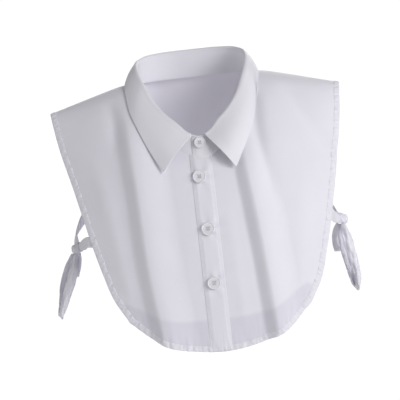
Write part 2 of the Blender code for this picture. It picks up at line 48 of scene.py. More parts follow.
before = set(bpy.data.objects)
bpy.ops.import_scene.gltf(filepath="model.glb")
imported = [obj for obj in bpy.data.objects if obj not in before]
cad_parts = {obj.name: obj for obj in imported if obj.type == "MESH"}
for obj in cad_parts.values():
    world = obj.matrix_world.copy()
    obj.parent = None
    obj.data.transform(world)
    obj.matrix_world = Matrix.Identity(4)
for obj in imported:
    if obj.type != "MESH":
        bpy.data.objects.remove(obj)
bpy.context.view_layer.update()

# Walls of the solids' cloth, and the gaps between pieces: at seams and at the shoulder seam
PANEL_WALL = 0.0010
COLLAR_WALL = 0.0012
TAPE_WALL = 0.0010
SEAM_GAP = 0.0003
SEWN_GAP = 0.00005

# The figure: the shoulder line, and how far the cloth stands before and behind it
SHOULDER_HALF = 0.1600
SHOULDER_SLOPE = 0.28
SLOPE_START = 0.0790
SLOPE_SOFTNESS = 0.0080
BODY_HALF_WIDTH = 0.1780
CHEST_DEPTH = 0.0980
BACK_DEPTH = 0.0960
CHEST_LEVEL = 0.2400
TOP_ROUNDING = 0.0415
PLAN_SQUARENESS = 2.4
PLAN_FULLNESS = 0.6
NAPE_REACH = 0.0530
NAPE_HALF_WIDTH = 0.0610
NAPE_STEEPNESS = 8
NAPE_BLEND_START = -0.0050
NORMAL_STEP = 0.0005
SEAM_FORWARD = 0.0100
CLOTH_REACH = 0.30

# The neck ring, where the stand is sewn to the panels
NECK_HALF = 0.0670
NECK_FRONT = 0.0735
NECK_BACK = 0.0535
NAPE_SQUARENESS = 2.6
NECK_CLEAR = -0.0004
SEAM_ANGLES = (math.radians(60), math.radians(100))
ANGLE_STEP = 0.01

# The fold ring, where the collar turns over
FOLD_HALF = 0.0590
FOLD_FRONT = 0.0680
FOLD_BACK = 0.0525
FOLD_LINE = (  # angle from the front in degrees, height
    (0.0, -0.0572),
    (11.0, -0.0528),
    (24.0, -0.0425),
    (38.0, -0.0307),
    (52.0, -0.0165),
    (67.0, 0.0015),
    (90.0, 0.0185),
    (125.0, 0.0262),
    (155.0, 0.0284),
    (180.0, 0.0287),
)

# The stand, whose ends overlap: how far, how far the upper one stands out, and its round corner
STAND_LAP = 0.0100
LAP_LIFT = 0.0016
LAP_RAMP = (math.radians(15), math.radians(45))
STAND_TOP_GAP = 0.0024
STAND_CORNER = 0.0070
STAND_CORNER_LIFT = 0.45
STAND_WALL = 0.0008
STAND_UNDER = 0.0018

# The leaf
LEAF_START_LEFT = 0.0055
LEAF_START_RIGHT = 0.0073
LEAF_ROLL = (  # out from the fold ring, up from it
    (0.0000, -0.0025),
    (0.0004, -0.0008),
    (0.0016, 0.0003),
    (0.0030, -0.0009),
    (0.0038, -0.0032),
)
LEAF_ROLL_SHARE = 0.3
# By the collar button the leaf hangs lower and further out than on the solid, fading with angle
LEAF_END_DROP = 0.0030
LEAF_END_OUT = 0.0010
LEAF_END_REACH = (math.radians(5), math.radians(24))
# How far its edge stands off the panels, and how it bows out: all round, and more at the front
LEAF_CLEAR = 0.0015
LEAF_SIDE_BOW = 0.0014
LEAF_BOW = 0.0016
BOW_RISE = 0.4
BOW_ENDS = (math.radians(30), math.radians(80))
FRONT_LIFT = 0.0080
FRONT_LIFT_TURN = 0.92
FRONT_LIFT_END = math.radians(56)
FRONT_LIFT_POWER = 1.5
LEAF_EDGE_RIGHT = (  # angle along the fold in degrees, half-width, distance along the panels' cloth
    (6.0, 0.0408, 0.1300),
    (24.0, 0.0487, 0.1149),
    (40.0, 0.0567, 0.0985),
    (56.0, 0.0641, 0.0800),
    (74.0, 0.0715, 0.0560),
    (92.0, 0.0748, 0.0240),
    (112.0, 0.0730, -0.0050),
    (135.0, 0.0600, -0.0266),
    (158.0, 0.0320, -0.0365),
    (180.0, 0.0000, -0.0383),
)
LEAF_EDGE_LEFT = (  # the same columns for the wearer's left
    (6.0, 0.0356, 0.1317),
    (24.0, 0.0430, 0.1174),
    (40.0, 0.0503, 0.1030),
    (56.0, 0.0580, 0.0860),
    (74.0, 0.0653, 0.0620),
    (92.0, 0.0712, 0.0275),
    (112.0, 0.0712, -0.0040),
    (135.0, 0.0600, -0.0266),
    (158.0, 0.0320, -0.0365),
    (180.0, 0.0000, -0.0383),
)

# The panels
FRONT_SIDE = (  # height, half-width of the armhole's and hem's edge
    (-0.0225, 0.1600),
    (-0.0600, 0.1542),
    (-0.1000, 0.1452),
    (-0.1400, 0.1362),
    (-0.1720, 0.1286),
    (-0.2000, 0.1210),
    (-0.2260, 0.1125),
    (-0.2510, 0.0980),
)
FRONT_LEAN = 0.0020
LEAN_SHARE = 0.5
FRONT_HEM = (  # place across, height
    (-0.0250, -0.2885),
    (0.0000, -0.2907),
    (0.0250, -0.2885),
    (0.0515, -0.2820),
    (0.0740, -0.2710),
    (0.0980, -0.2510),
)
BACK_SIDE = (  # height, half-width of the armhole's and hem's edge
    (-0.0225, 0.1600),
    (-0.0600, 0.1510),
    (-0.1000, 0.1415),
    (-0.1400, 0.1340),
    (-0.1720, 0.1295),
    (-0.2020, 0.1235),
    (-0.2290, 0.1150),
    (-0.2520, 0.1000),
)
BACK_HEM = (  # place across, height
    (-0.0250, -0.2862),
    (0.0000, -0.2880),
    (0.0250, -0.2862),
    (0.0530, -0.2805),
    (0.0780, -0.2695),
    (0.1000, -0.2520),
)
NECK_SHARE = 0.50
ROW_SPREAD = 1.25

# The button strip: close to the cloth at its edges, higher in its middle, and pulled down
# unevenly along its two rows of stitches
PLACKET_HALF = 0.0118
PLACKET_SHIFT = -0.0010
UNDER_EDGE = 0.0080
STRIP_EDGE = 0.0002
STRIP_MIDDLE = 0.0013
STRIP_SLOPE = 0.0050
STRIP_ROW = 0.0030
STRIP_ROW_PULL = 0.0012
STRIP_DIP = 0.00025
STRIP_UNEVEN = 0.4
STRIP_WALL = 0.0004
STRIP_LENGTH = 0.235

# Folds: a fold's line is its height and place across, steep and soft are the widths of its two
# slopes, and it starts and is full at the heights given
FRONT_FOLDS = (
    {
        "line": ((-0.015, -0.086), (-0.105, -0.079), (-0.195, -0.075), (-0.280, -0.066)),
        "rise": 0.0094,
        "steep": 0.018,
        "soft": 0.036,
        "start": -0.012,
        "full": -0.072,
    },
    {
        "line": ((-0.100, 0.040), (-0.185, 0.048), (-0.275, 0.054)),
        "rise": 0.0108,
        "steep": 0.0145,
        "soft": 0.032,
        "start": -0.060,
        "full": -0.108,
    },
)
BACK_FOLDS = (
    {
        "line": ((-0.030, -0.060), (-0.150, -0.058), (-0.280, -0.046)),
        "rise": 0.0060,
        "steep": 0.024,
        "soft": 0.045,
        "start": -0.050,
        "full": -0.150,
    },
    {
        "line": ((-0.030, 0.030), (-0.150, 0.044), (-0.280, 0.060)),
        "rise": 0.0045,
        "steep": 0.020,
        "soft": 0.040,
        "start": -0.060,
        "full": -0.170,
    },
)

# Buttons: their holes, and the strands of thread through them, which lie apart, reach past the
# holes and stand above the button's middle
BUTTON_HOLE_REACH = 0.0017
COLLAR_BUTTON_SCALE = 0.86
STRAND_APART = 0.0003
STRAND_PAST = 0.0004
STRAND_ABOVE = 0.0004
STRAND_THICK = 0.00026
PLACKET_BUTTONS = (  # name, place across, height
    ("button_1", -0.0045, -0.1025),
    ("button_2", -0.0015, -0.1578),
    ("button_3", -0.0015, -0.2157),
)

# Ties
TAPE_WIDTH = 0.0115
KNOT_RADII = (0.0085, 0.0065, 0.0075)
FRONT_TIE_HEIGHT = -0.1620
BACK_TIE_HEIGHT = -0.1420
SEWN_REACH = (-0.0090, -0.0030, 0.0030)
# A knot: a pinched core and a tape wrapped over it, in shares of the knot's radii
KNOT_CORE = 0.72
KNOT_PINCH = 0.10
KNOT_CRUMPLE = 0.05
KNOT_SLANT = math.radians(32)
KNOT_WRAP = 0.98
KNOT_WRAP_EDGE = 0.16
KNOT_WRAP_HALF = 0.50
KNOT_WRAP_UNEVEN = 0.18
# Each side's tie: its knot, then each tape's points between its sewn end and the knot, and the
# way the tape faces at each of them and at its ends by the knot
TIES = {
    "right": {
        "knot": (-0.1474, -0.0120, -0.1733),
        "front": (((-0.1375, -0.0350, -0.1663),), ((-0.80, -0.55, 0.10), (-0.60, -0.75, 0.20))),
        "back": (
            ((-0.1490, 0.0220, -0.1600), (-0.1492, 0.0040, -0.1660)),
            ((-0.85, -0.10, 0.20), (-0.80, -0.50, 0.20), (-0.60, -0.75, 0.30)),
        ),
        "loop": (
            (
                (-0.1537, -0.0240, -0.1947),
                (-0.1630, -0.0260, -0.2182),
                (-0.1715, -0.0225, -0.2400),
                (-0.1735, -0.0180, -0.2465),
                (-0.1730, -0.0140, -0.2420),
                (-0.1662, -0.0095, -0.2127),
                (-0.1570, -0.0085, -0.1900),
            ),
            (
                (-0.30, -0.95, 0.00),
                (-0.30, -0.95, 0.00),
                (-0.20, -0.95, 0.00),
                (-0.10, -0.90, -0.40),
                (0.00, 0.00, -1.00),
                (0.10, 0.90, -0.40),
                (0.20, 0.95, 0.00),
                (0.30, 0.95, 0.00),
                (0.30, 0.95, 0.00),
            ),
        ),
        "tail": (
            ((-0.1510, 0.0020, -0.1900), (-0.1550, 0.0030, -0.2060)),
            ((-0.30, -0.95, 0.00), (-0.25, -0.95, 0.00), (-0.20, -0.95, 0.10)),
        ),
    },
    "left": {
        "knot": (0.1467, -0.0120, -0.1727),
        "front": (((0.1384, -0.0350, -0.1675),), ((0.80, -0.55, 0.10), (0.60, -0.75, 0.20))),
        "back": (
            ((0.1385, 0.0280, -0.1590), (0.1440, 0.0060, -0.1665)),
            ((0.85, -0.10, 0.20), (0.80, -0.50, 0.20), (0.60, -0.75, 0.30)),
        ),
        "loop": (
            (
                (0.1496, -0.0240, -0.1889),
                (0.1541, -0.0260, -0.2139),
                (0.1577, -0.0230, -0.2400),
                (0.1560, -0.0185, -0.2510),
                (0.1525, -0.0140, -0.2420),
                (0.1480, -0.0085, -0.2111),
                (0.1453, -0.0085, -0.1890),
            ),
            (
                (0.30, -0.95, 0.00),
                (0.25, -0.95, 0.00),
                (0.20, -0.95, 0.00),
                (0.10, -0.90, -0.40),
                (0.00, 0.00, -1.00),
                (-0.10, 0.90, -0.40),
                (-0.20, 0.95, 0.00),
                (-0.25, 0.95, 0.00),
                (-0.30, 0.95, 0.00),
            ),
        ),
        "tail": (
            ((0.1400, 0.0020, -0.1929), (0.1405, 0.0030, -0.2105)),
            ((0.30, -0.95, 0.00), (0.25, -0.95, 0.00), (0.20, -0.95, 0.10)),
        ),
    },
}

# Softer creases of the fronts: the line is height and place across, rise is + for a ridge and - for
# a trough, width is the half-width, and ends are the heights where it begins and is full, then
# where it begins to fade and is gone
FRONT_CREASES = (
    {
        "line": ((-0.012, 0.096), (-0.050, 0.118), (-0.100, 0.142)),
        "rise": -0.0022,
        "width": 0.010,
        "ends": (-0.012, -0.030, -0.085, -0.110),
    },
    {
        "line": ((-0.012, 0.064), (-0.060, 0.063), (-0.110, 0.069), (-0.160, 0.078)),
        "rise": -0.0034,
        "width": 0.0075,
        "ends": (-0.012, -0.030, -0.090, -0.160),
    },
    {
        "line": ((-0.015, -0.094), (-0.045, -0.090), (-0.080, -0.092)),
        "rise": -0.0020,
        "width": 0.008,
        "ends": (-0.010, -0.025, -0.040, -0.080),
    },
    {
        "line": ((-0.060, -0.120), (-0.140, -0.104), (-0.240, -0.090)),
        "rise": 0.0014,
        "width": 0.011,
        "ends": (-0.060, -0.110, -0.200, -0.260),
    },
    {
        "line": ((-0.100, 0.105), (-0.180, 0.098), (-0.250, 0.088)),
        "rise": 0.0013,
        "width": 0.012,
        "ends": (-0.090, -0.150, -0.220, -0.262),
    },
    {
        "line": ((-0.110, 0.022), (-0.200, 0.024), (-0.285, 0.028)),
        "rise": 0.0007,
        "width": 0.007,
        "ends": (-0.120, -0.170, -0.240, -0.285),
    },
)
BACK_CREASES = (
    {
        "line": ((-0.030, -0.100), (-0.120, -0.096), (-0.240, -0.088)),
        "rise": -0.0018,
        "width": 0.011,
        "ends": (-0.030, -0.090, -0.200, -0.260),
    },
    {
        "line": ((-0.040, 0.095), (-0.130, 0.100), (-0.240, 0.092)),
        "rise": 0.0016,
        "width": 0.012,
        "ends": (-0.040, -0.100, -0.200, -0.260),
    },
    {
        "line": ((-0.050, -0.012), (-0.160, -0.004), (-0.290, 0.004)),
        "rise": 0.0012,
        "width": 0.013,
        "ends": (-0.050, -0.130, -0.240, -0.290),
    },
)

# How a tape narrows along its way, where it is pinched in the knot or turned back
PLAIN_TAPE = ((0.0, 1.0), (0.75, 1.0), (1.0, 0.62))
LOOP_TAPE = (
    (0.0, 0.55),
    (0.12, 0.92),
    (0.30, 0.80),
    (0.42, 0.62),
    (0.50, 0.50),
    (0.58, 0.62),
    (0.72, 0.82),
    (0.88, 0.95),
    (1.0, 0.55),
)
END_TAPE = ((0.0, 0.55), (0.30, 0.85), (0.75, 0.88), (1.0, 0.70))
# How a loop or end cups, more where it is narrow, and its crumples, in radians for each metre
# along it and for its whole width across
LOOP_WAVY = 0.0012
END_WAVY = 0.0010
TAPE_CUP = (2.6, 1.6)
TAPE_CRUMPLE = 0.4
TAPE_CRUMPLES = ((310, 9), (173, -14))
TAPE_UNEVEN = 0.04
TAPE_UNEVEN_WAVES = 170

# The cloth's own small unevenness, which begins a little below the shoulder line
RIPPLE = 0.0005
RIPPLE_SIZE = 0.035
RIPPLE_START = (0.010, 0.060)
# Which slice of the noise each unevenness reads
FRONT_SLICE = 1.0
BACK_SLICE = 3.0
PUCKER_SLICE = 5.0
FINE_PUCKER_SLICE = 9.0
# Puckers of the fronts' hem: narrow and upright, with finer ones between, fading upwards and
# towards the armholes
PUCKER = 0.0015
PUCKER_SIZE = 0.0048
PUCKER_TALL = 0.022
PUCKER_REACH = 0.008
PUCKER_SIDE = (0.110, 0.080)
FINE_PUCKER = 0.5
FINE_PUCKER_TIMES = 2.3
PUCKER_WAVES = ((0.0083, 0.4), (0.0131, 1.9), (0.0057, 4.1))  # length, phase
# Drag lines that run out from each button
DRAG = 0.0008
DRAG_START = (0.002, 0.008)
DRAG_REACH = 0.014
# Where no back panel is behind the fronts, so the poplin there is painted darker as painted shade:
# place across, height above the fronts' hem
SEE_THROUGH_BACK = ((0.000, 0.0360), (0.055, 0.0305), (0.080, 0.0290), (0.105, 0.0200))
SEE_THROUGH_SOFT = 0.0022
SEE_THROUGH_SIDE = (0.108, 0.124)

# The turned hem: how far its layers stand off the cloth, and the pull of its stitches
HEM_WIDTH = 0.0060
HEM_WALL = 0.00025
HEM_TURN = 0.22
HEM_ROLL = 0.9
HEM_OUT = 0.00045
HEM_PUFF = 0.00012
HEM_SINK = 0.00036
HEM_PULL = 0.00040
HEM_PULL_WAVES = ((0.0049, 0.9), (0.0083, 2.7), (0.0149, 0.2))
HEM_UNEVEN = 0.0004
HEM_UNEVEN_WAVES = ((0.0170, 0.3), (0.0290, 2.2))

# Rows of stitches: the share of the spacing that a stitch starts and ends at, how far each row
# lies in from its edge, and how far it stands out of the cloth
STITCH_SPAN = (0.16, 0.84)
HEM_ROW_IN = 0.0010
HEM_ROW_SINK = 0.6
STRIP_ROW_OUT = 0.00012
SHOULDER_ROW_IN = 0.0022
SHOULDER_ROW_OUT = 0.0001
SHOULDER_ROW_START = 0.072
SHOULDER_ROW_LENGTH = 0.086
LEAF_ROW_IN = 0.0055
LEAF_ROW_OUT = 0.00005
LEAF_ROW_LENGTH = 0.46
LEAF_ROW_ENDS = (0.012, 0.988)
LEAF_EDGE_STEP = 0.1
LEAF_ACROSS_STEP = 0.004
NECK_MIDDLE = Vector((0, 0, -0.03))

# The cloth that each piece's own map spans: across and down
PANEL_MAP = (0.150, 0.300)
BACK_MAP = (0.290, 0.330)
STAND_MAP = (0.400, 0.030)
LEAF_MAP = (0.430, 0.075)
SLUB_LENGTH = 8  # in threads

# How fine the pieces are drawn
PANEL_STEPS = (120, 110)
BACK_STEPS = (180, 100)
STRIP_STEPS = (28, 300)
STAND_STEPS = (220, 10)
LEAF_STEPS = (240, 44)
HEM_STEPS = 520
HEM_ROWS = 14
EDGE_POINTS = 60
EDGE_STEP = 0.004
TAPE_STEPS = 60
LOOP_STEPS = 150
END_STEPS = 50
TAPE_ACROSS = 12
KNOT_CORE_STEPS = (36, 20)
KNOT_WRAP_STEPS = (40, 10)
COLLAR_ROUND = 0.0004
COLLAR_ROUND_FROM = math.radians(60)

# The lamps stand this far from a point in the garment: name, degrees round it from the front,
# degrees up, size in metres, watts
LAMP_DISTANCE = 2.4
LAMP_TARGET = Vector((0, 0, -0.12))
LAMPS = (
    ("key_softbox", 42.0, 16.0, 1.2, 34.0),
    ("right_softbox", 80.0, 10.0, 1.0, 3.0),
    ("left_softbox", -60.0, -14.0, 1.0, 5.0),
    ("left_high_softbox", -80.0, 12.0, 1.0, 7.0),
    ("back_softbox", 165.0, 25.0, 1.0, 22.0),
)
# The room is dim all round and bright straight behind the garment
ROOM_DIM = 0.27
ROOM_BRIGHT = 1.04
ROOM_BAND = (0.90, 0.965)
FLOOR_HALF = 1.6
FLOOR_HEIGHT = -0.80

# The photo's view: the camera's height and lean, and the metres that the picture's width spans
CAMERA_TARGET = Vector((0, 0, -0.13))
CAMERA_LIFT = math.radians(6.0)
CAMERA_LEAN = math.radians(-6.4)
PICTURE_WIDTH = 400 / 900
SENSOR_WIDTH = 36.0
CAMERA_SHIFT = (-0.01375, -0.0150)
CAMERA_CLIP = (0.05, 50.0)


def blend(edge_0, edge_1, value):
    """0 below the first edge, 1 above the second, and a smooth step between them."""
    t = min(max((value - edge_0) / (edge_1 - edge_0), 0.0), 1.0)
    return t * t * (3.0 - 2.0 * t)


def through(rows, value, column=1):
    """The column's value on a smooth curve through the rows of a table, read at its first column."""
    rows = sorted(rows)
    value = min(max(value, rows[0][0]), rows[-1][0])
    last = len(rows) - 2
    i = min(sum(row[0] <= value for row in rows[1:-1]), last)
    a, b = rows[i], rows[i + 1]
    before, after = rows[max(i - 1, 0)], rows[min(i + 2, len(rows) - 1)]
    span = b[0] - a[0]
    t = (value - a[0]) / span
    slope_a = (b[column] - before[column]) / (b[0] - before[0])
    slope_b = (after[column] - a[column]) / (after[0] - a[0])
    return (
        (2 * t**3 - 3 * t**2 + 1) * a[column]
        + (t**3 - 2 * t**2 + t) * span * slope_a
        + (3 * t**2 - 2 * t**3) * b[column]
        + (t**3 - t**2) * span * slope_b
    )


def smooth_path(points, facing, steps):
    """Points along a smooth curve through a few given points, and the facing at each."""
    distance = 0.0
    rows = []
    for i, point in enumerate(points):
        distance += (Vector(point) - Vector(points[max(i - 1, 0)])).length
        rows.append((distance, *point, *Vector(facing[i]).normalized()))
    reads = [distance * i / steps for i in range(steps + 1)]
    path = [Vector([through(rows, read, axis) for axis in (1, 2, 3)]) for read in reads]
    faces = [Vector([through(rows, read, axis) for axis in (4, 5, 6)]) for read in reads]
    return path, faces


def ridge_height(x):
    """The height of the shoulder line: level across the neck, then sloping to the shoulder tips."""
    out = abs(x) - SLOPE_START
    return -SHOULDER_SLOPE * 0.5 * (out + math.sqrt(out * out + SLOPE_SOFTNESS**2))


def halved(low, high, past, times=30):
    """Where past turns from true to false between low and high, found by halving."""
    for _ in range(times):
        middle = (low + high) / 2
        if past(middle):
            low = middle
        else:
            high = middle
    return (low + high) / 2


def drop_of(along):
    """How far the cloth has dropped at this distance along it from the shoulder line."""
    return math.sqrt(TOP_ROUNDING**2 + along**2) - TOP_ROUNDING


def along_to(x, z):
    """The distance along the cloth from the shoulder line down to this height."""
    drop = max(ridge_height(x) - z, 0.0)
    return math.sqrt(drop * (drop + 2 * TOP_ROUNDING))


def depth_at(x, depth):
    """The form's plan: how far it stands from the shoulder line at this place across."""
    return depth * (1.0 - min(abs(x) / BODY_HALF_WIDTH, 1.0) ** PLAN_SQUARENESS) ** PLAN_FULLNESS


def roundness(drop):
    """0 at the shoulder line, 1 from the chest's level down, along a quarter of an ellipse."""
    return math.sqrt(1.0 - (1.0 - min(drop / CHEST_LEVEL, 1.0)) ** 2)


def form_point(x, along):
    """A point of the figure's form. along is + in front of the shoulder line and - behind it."""
    drop = drop_of(along)
    nape = NAPE_REACH / (1.0 + (x / NAPE_HALF_WIDTH) ** NAPE_STEEPNESS)
    nape *= 1.0 - blend(NAPE_BLEND_START, SEAM_FORWARD, along)
    if along >= 0:
        y = nape - depth_at(x, CHEST_DEPTH) * roundness(drop)
    else:
        y = nape + (depth_at(x, BACK_DEPTH) - nape) * roundness(drop)
    return Vector((x, y, ridge_height(x) - drop))


def fold_rise(folds, x, z):
    """How far the folds lift the cloth off the form."""
    rise = 0.0
    for fold in folds:
        off = x - through(fold["line"], z)
        steep = fold["steep"]
        climb = blend(-steep / 2, steep / 2, off)
        fall = 1.0 - blend(steep / 2, steep / 2 + fold["soft"], off)
        rise += fold["rise"] * climb * fall * blend(-fold["start"], -fold["full"], -z)
    return rise


def crease_rise(creases, x, z):
    """How far the softer creases lift the cloth."""
    rise = 0.0
    for crease in creases:
        off = (x - through(crease["line"], z)) / crease["width"]
        if abs(off) < 3:
            begin, full, fading, gone = crease["ends"]
            share = blend(-begin, -full, -z) * (1 - blend(-fading, -gone, -z))
            rise += crease["rise"] * math.exp(-off * off) * share
    return rise


def wavering(value, waves):
    """An uneven wave between about -1 and 1."""
    return sum(math.sin(2 * math.pi * value / length + phase) for length, phase in waves) / 2


def sewing_rise(x, z):
    """The pull of the stitches: puckers along the fronts' hem and short drag lines at buttons."""
    above = max(above_front_hem(x, z), 0.0)
    column, row = x / PUCKER_SIZE, above / PUCKER_TALL
    uneven = noise.noise(Vector((column, row, PUCKER_SLICE)))
    finer = noise.noise(Vector((column * FINE_PUCKER_TIMES, row, FINE_PUCKER_SLICE)))
    uneven += FINE_PUCKER * finer
    rise = PUCKER * math.exp(-above / PUCKER_REACH) * uneven * blend(*PUCKER_SIDE, abs(x))
    for _, button_x, button_z in PLACKET_BUTTONS:
        across, up = x - button_x, z - button_z
        away = math.hypot(across, up)
        if away < 3 * DRAG_REACH:
            turn = math.atan2(up, across)
            # Five rays and three weaker ones, turned differently at each button
            rays = math.cos(5 * turn + 1.3 + 40 * button_z)
            rays += 0.6 * math.cos(3 * turn - 90 * button_z)
            near = blend(*DRAG_START, away) * math.exp(-((away / DRAG_REACH) ** 2))
            rise += DRAG * rays * near
    return rise


def soft_rise(x, z, in_front):
    """All that the real cloth adds to the solids' form."""
    place = Vector((x, z, FRONT_SLICE if in_front else BACK_SLICE)) / RIPPLE_SIZE
    rise = RIPPLE * noise.noise(place) * blend(*RIPPLE_START, -z)
    if in_front:
        return rise + crease_rise(FRONT_CREASES, x, z) + sewing_rise(x, z)
    return rise + crease_rise(BACK_CREASES, x, z)


def form_facing(x, along):
    """A point of the figure's form and the way it faces."""
    across = form_point(x + NORMAL_STEP, along) - form_point(x - NORMAL_STEP, along)
    down = form_point(x, along + NORMAL_STEP) - form_point(x, along - NORMAL_STEP)
    return form_point(x, along), down.cross(across).normalized()


def cloth_point(x, along, out=0.0):
    """A point on the panels' middle surface, moved outwards by out."""
    here, normal = form_facing(x, along)
    folds = FRONT_FOLDS if along > 0 else BACK_FOLDS
    rise = fold_rise(folds, x, here.z) + soft_rise(x, here.z, along > 0)
    return here + normal * (rise + out)


def front_point(x, z, out=0.0):
    """A point on the front panels at this height, moved outwards by out."""
    return cloth_point(x, along_to(x, z), out)


def back_point(x, z, out=0.0):
    """A point on the back panel at this height, moved outwards by out."""
    return cloth_point(x, -along_to(x, z), out)


def plain_front(x, z, out=0.0):
    """A point on the fronts without the softer creases, where the solid buttons sit."""
    here, normal = form_facing(x, along_to(x, z))
    return here + normal * (fold_rise(FRONT_FOLDS, x, z) + out)


def along_at(x, y):
    """Where along the cloth the form reaches this y."""
    return halved(-CLOTH_REACH, CLOTH_REACH, lambda along: form_point(x, along).y > y, 40)


def ring_point(angle, half, front, back, out=0.0):
    """A ring's point in plan, an ellipse in front and squarer behind. angle is from the front."""
    s, c = math.sin(angle), math.cos(angle)
    if c >= 0:
        return (half + out) * s, -(front + out) * c
    power = 2.0 / NAPE_SQUARENESS
    return math.copysign((half + out) * abs(s) ** power, s), (back + out) * abs(c) ** power


@cache
def stand_foot(angle):
    """A point of the stand's foot, on the figure's form."""
    x, y = ring_point(angle, NECK_HALF, NECK_FRONT, NECK_BACK)
    return Vector((x, y, form_point(x, along_at(x, y)).z))


@cache
def fold_line(angle):
    """A point of the line where the collar turns over."""
    x, y = ring_point(angle, FOLD_HALF, FOLD_FRONT, FOLD_BACK)
    return Vector((x, y, through(FOLD_LINE, math.degrees(min(abs(angle), math.pi)))))


def fold_point(angle, out=0.0, up=0.0):
    """A point of the fold line, moved square to the line and to the stand."""
    here = fold_line(angle)
    ahead = (fold_line(angle + ANGLE_STEP) - fold_line(angle - ANGLE_STEP)).normalized()
    upwards = here - stand_foot(angle)
    upwards = (upwards - ahead * upwards.dot(ahead)).normalized()
    outwards = ahead.cross(upwards)
    if outwards.dot(Vector((math.sin(angle), -math.cos(angle), 0))) < 0:
        outwards = -outwards
    return here + outwards * out + upwards * up


def lap_lift(angle):
    """How far the stand's upper end stands out over its lower one, on the wearer's left."""
    return LAP_LIFT * (1.0 - blend(*LAP_RAMP, angle))


@cache
def neck_edge(angle):
    """Place across and distance along of the panels' neck edge, which meets the stand's foot."""
    in_front = max(math.cos(angle), 0.0)
    x, y = ring_point(angle, NECK_HALF, NECK_FRONT, NECK_BACK, NECK_CLEAR * (1 - in_front))
    return x, along_at(x, y) + NECK_CLEAR * in_front


@cache
def seam_angle(along):
    """The angle on the neck ring where the shoulder seam's edge, this far forward, meets it."""
    return halved(*SEAM_ANGLES, lambda angle: neck_edge(angle)[1] > along)


def coons(top, bottom, inner, outer, u, v):
    """A four-sided patch between its edges, each a function to (place across, distance along)."""
    corners = (top(0), top(1), bottom(0), bottom(1))
    return [
        (1 - v) * top(u)[i]
        + v * bottom(u)[i]
        + (1 - u) * inner(v)[i]
        + u * outer(v)[i]
        - (1 - u) * (1 - v) * corners[0][i]
        - u * (1 - v) * corners[1][i]
        - (1 - u) * v * corners[2][i]
        - u * v * corners[3][i]
        for i in (0, 1)
    ]


def side_edge(rows, along):
    """The half-width of a panel's side edge at this distance along the cloth."""
    lowest, highest = rows[-1][0], rows[0][0]
    z = halved(lowest, highest, lambda z: along_to(through(rows, z), z) >= along)
    return through(rows, z)


def front_hem_height(x):
    """The height of the fronts' hem, whose lowest point is a little to the wearer's left."""
    return through(FRONT_HEM, abs(x - FRONT_LEAN))


def above_front_hem(x, z):
    """How far a point is above the fronts' hem."""
    return z - front_hem_height(min(abs(x), FRONT_HEM[-1][0]))


def half_panel(first, seam_along, bottom, half_width):
    """A patch from the neck's first angle to the armhole, and from the seam to the hem.

    bottom(u) is a point of the hem, and half_width(along, v) is where the armhole's edge lies.
    """
    seam = seam_angle(seam_along)

    @cache
    def top(u):
        if u <= NECK_SHARE:
            return neck_edge(first + (seam - first) * u / NECK_SHARE)
        neck_x = neck_edge(seam)[0]
        share = (u - NECK_SHARE) / (1 - NECK_SHARE)
        return neck_x + (SHOULDER_HALF - neck_x) * share, seam_along

    @cache
    def inner(v):
        return bottom(0)[0], top(0)[1] + v * (bottom(0)[1] - top(0)[1])

    @cache
    def outer(v):
        along = seam_along + v * (bottom(1)[1] - seam_along)
        return half_width(along, v), along

    return lambda u, v: coons(top, bottom, inner, outer, u, v**ROW_SPREAD)


def front_hem_point(side, start, u):
    """A front's hem, from start across outwards: place across and distance along."""
    x = start + (FRONT_HEM[-1][0] + side * FRONT_LEAN - start) * math.sin(u * math.pi / 2)
    return x, along_to(x, front_hem_height(side * x))


def front_half_width(side, along, v):
    """Where a front's armhole edge lies. v is the share of the way down it."""
    return side_edge(FRONT_SIDE, along) + side * FRONT_LEAN * blend(0, LEAN_SHARE, v)


def front_patch(side, start):
    """The wearer's left front for side 1, the right one for -1, from start across outwards."""
    half = half_panel(
        math.asin(start / NECK_HALF),
        SEAM_FORWARD + SEWN_GAP,
        cache(lambda u: front_hem_point(side, start, u)),
        lambda along, v: front_half_width(side, along, v),
    )

    def place(u, v):
        x, along = half(u, v)
        return cloth_point(side * x, along)

    return place


def back_patch():
    """The back panel, from the wearer's right to the left, seam to hem."""

    @cache
    def bottom(u):
        x = BACK_HEM[-1][0] * math.sin(u * math.pi / 2)
        return x, -along_to(x, through(BACK_HEM, x))

    half = half_panel(
        math.pi, SEAM_FORWARD - SEWN_GAP, bottom, lambda along, v: side_edge(BACK_SIDE, -along)
    )

    def place(u, v):
        across = 2 * u - 1
        x, along = half(abs(across), v)
        return cloth_point(math.copysign(x, across), along)

    return place


def placket_place(u, v):
    """The button strip: the panels' own points at the centre front, moved out.

    It lies close at its edges and stands a little off between its two rows of stitches.
    """
    x = PLACKET_SHIFT + PLACKET_HALF * (2 * u - 1)
    neck = neck_edge(math.asin(x / NECK_HALF))[1]
    low = along_to(x, front_hem_height(x))
    along = neck + v**ROW_SPREAD * (low - neck)
    from_edge = PLACKET_HALF * (1 - abs(2 * u - 1))
    out = STRIP_EDGE + (STRIP_MIDDLE - STRIP_EDGE) * blend(0.0, STRIP_SLOPE, from_edge)
    row = math.exp(-(((from_edge - STRIP_ROW) / STRIP_ROW_PULL) ** 2))
    pull = 1 - STRIP_UNEVEN + STRIP_UNEVEN * wavering(along, PUCKER_WAVES)
    return cloth_point(x, along, out - STRIP_DIP * row * pull)


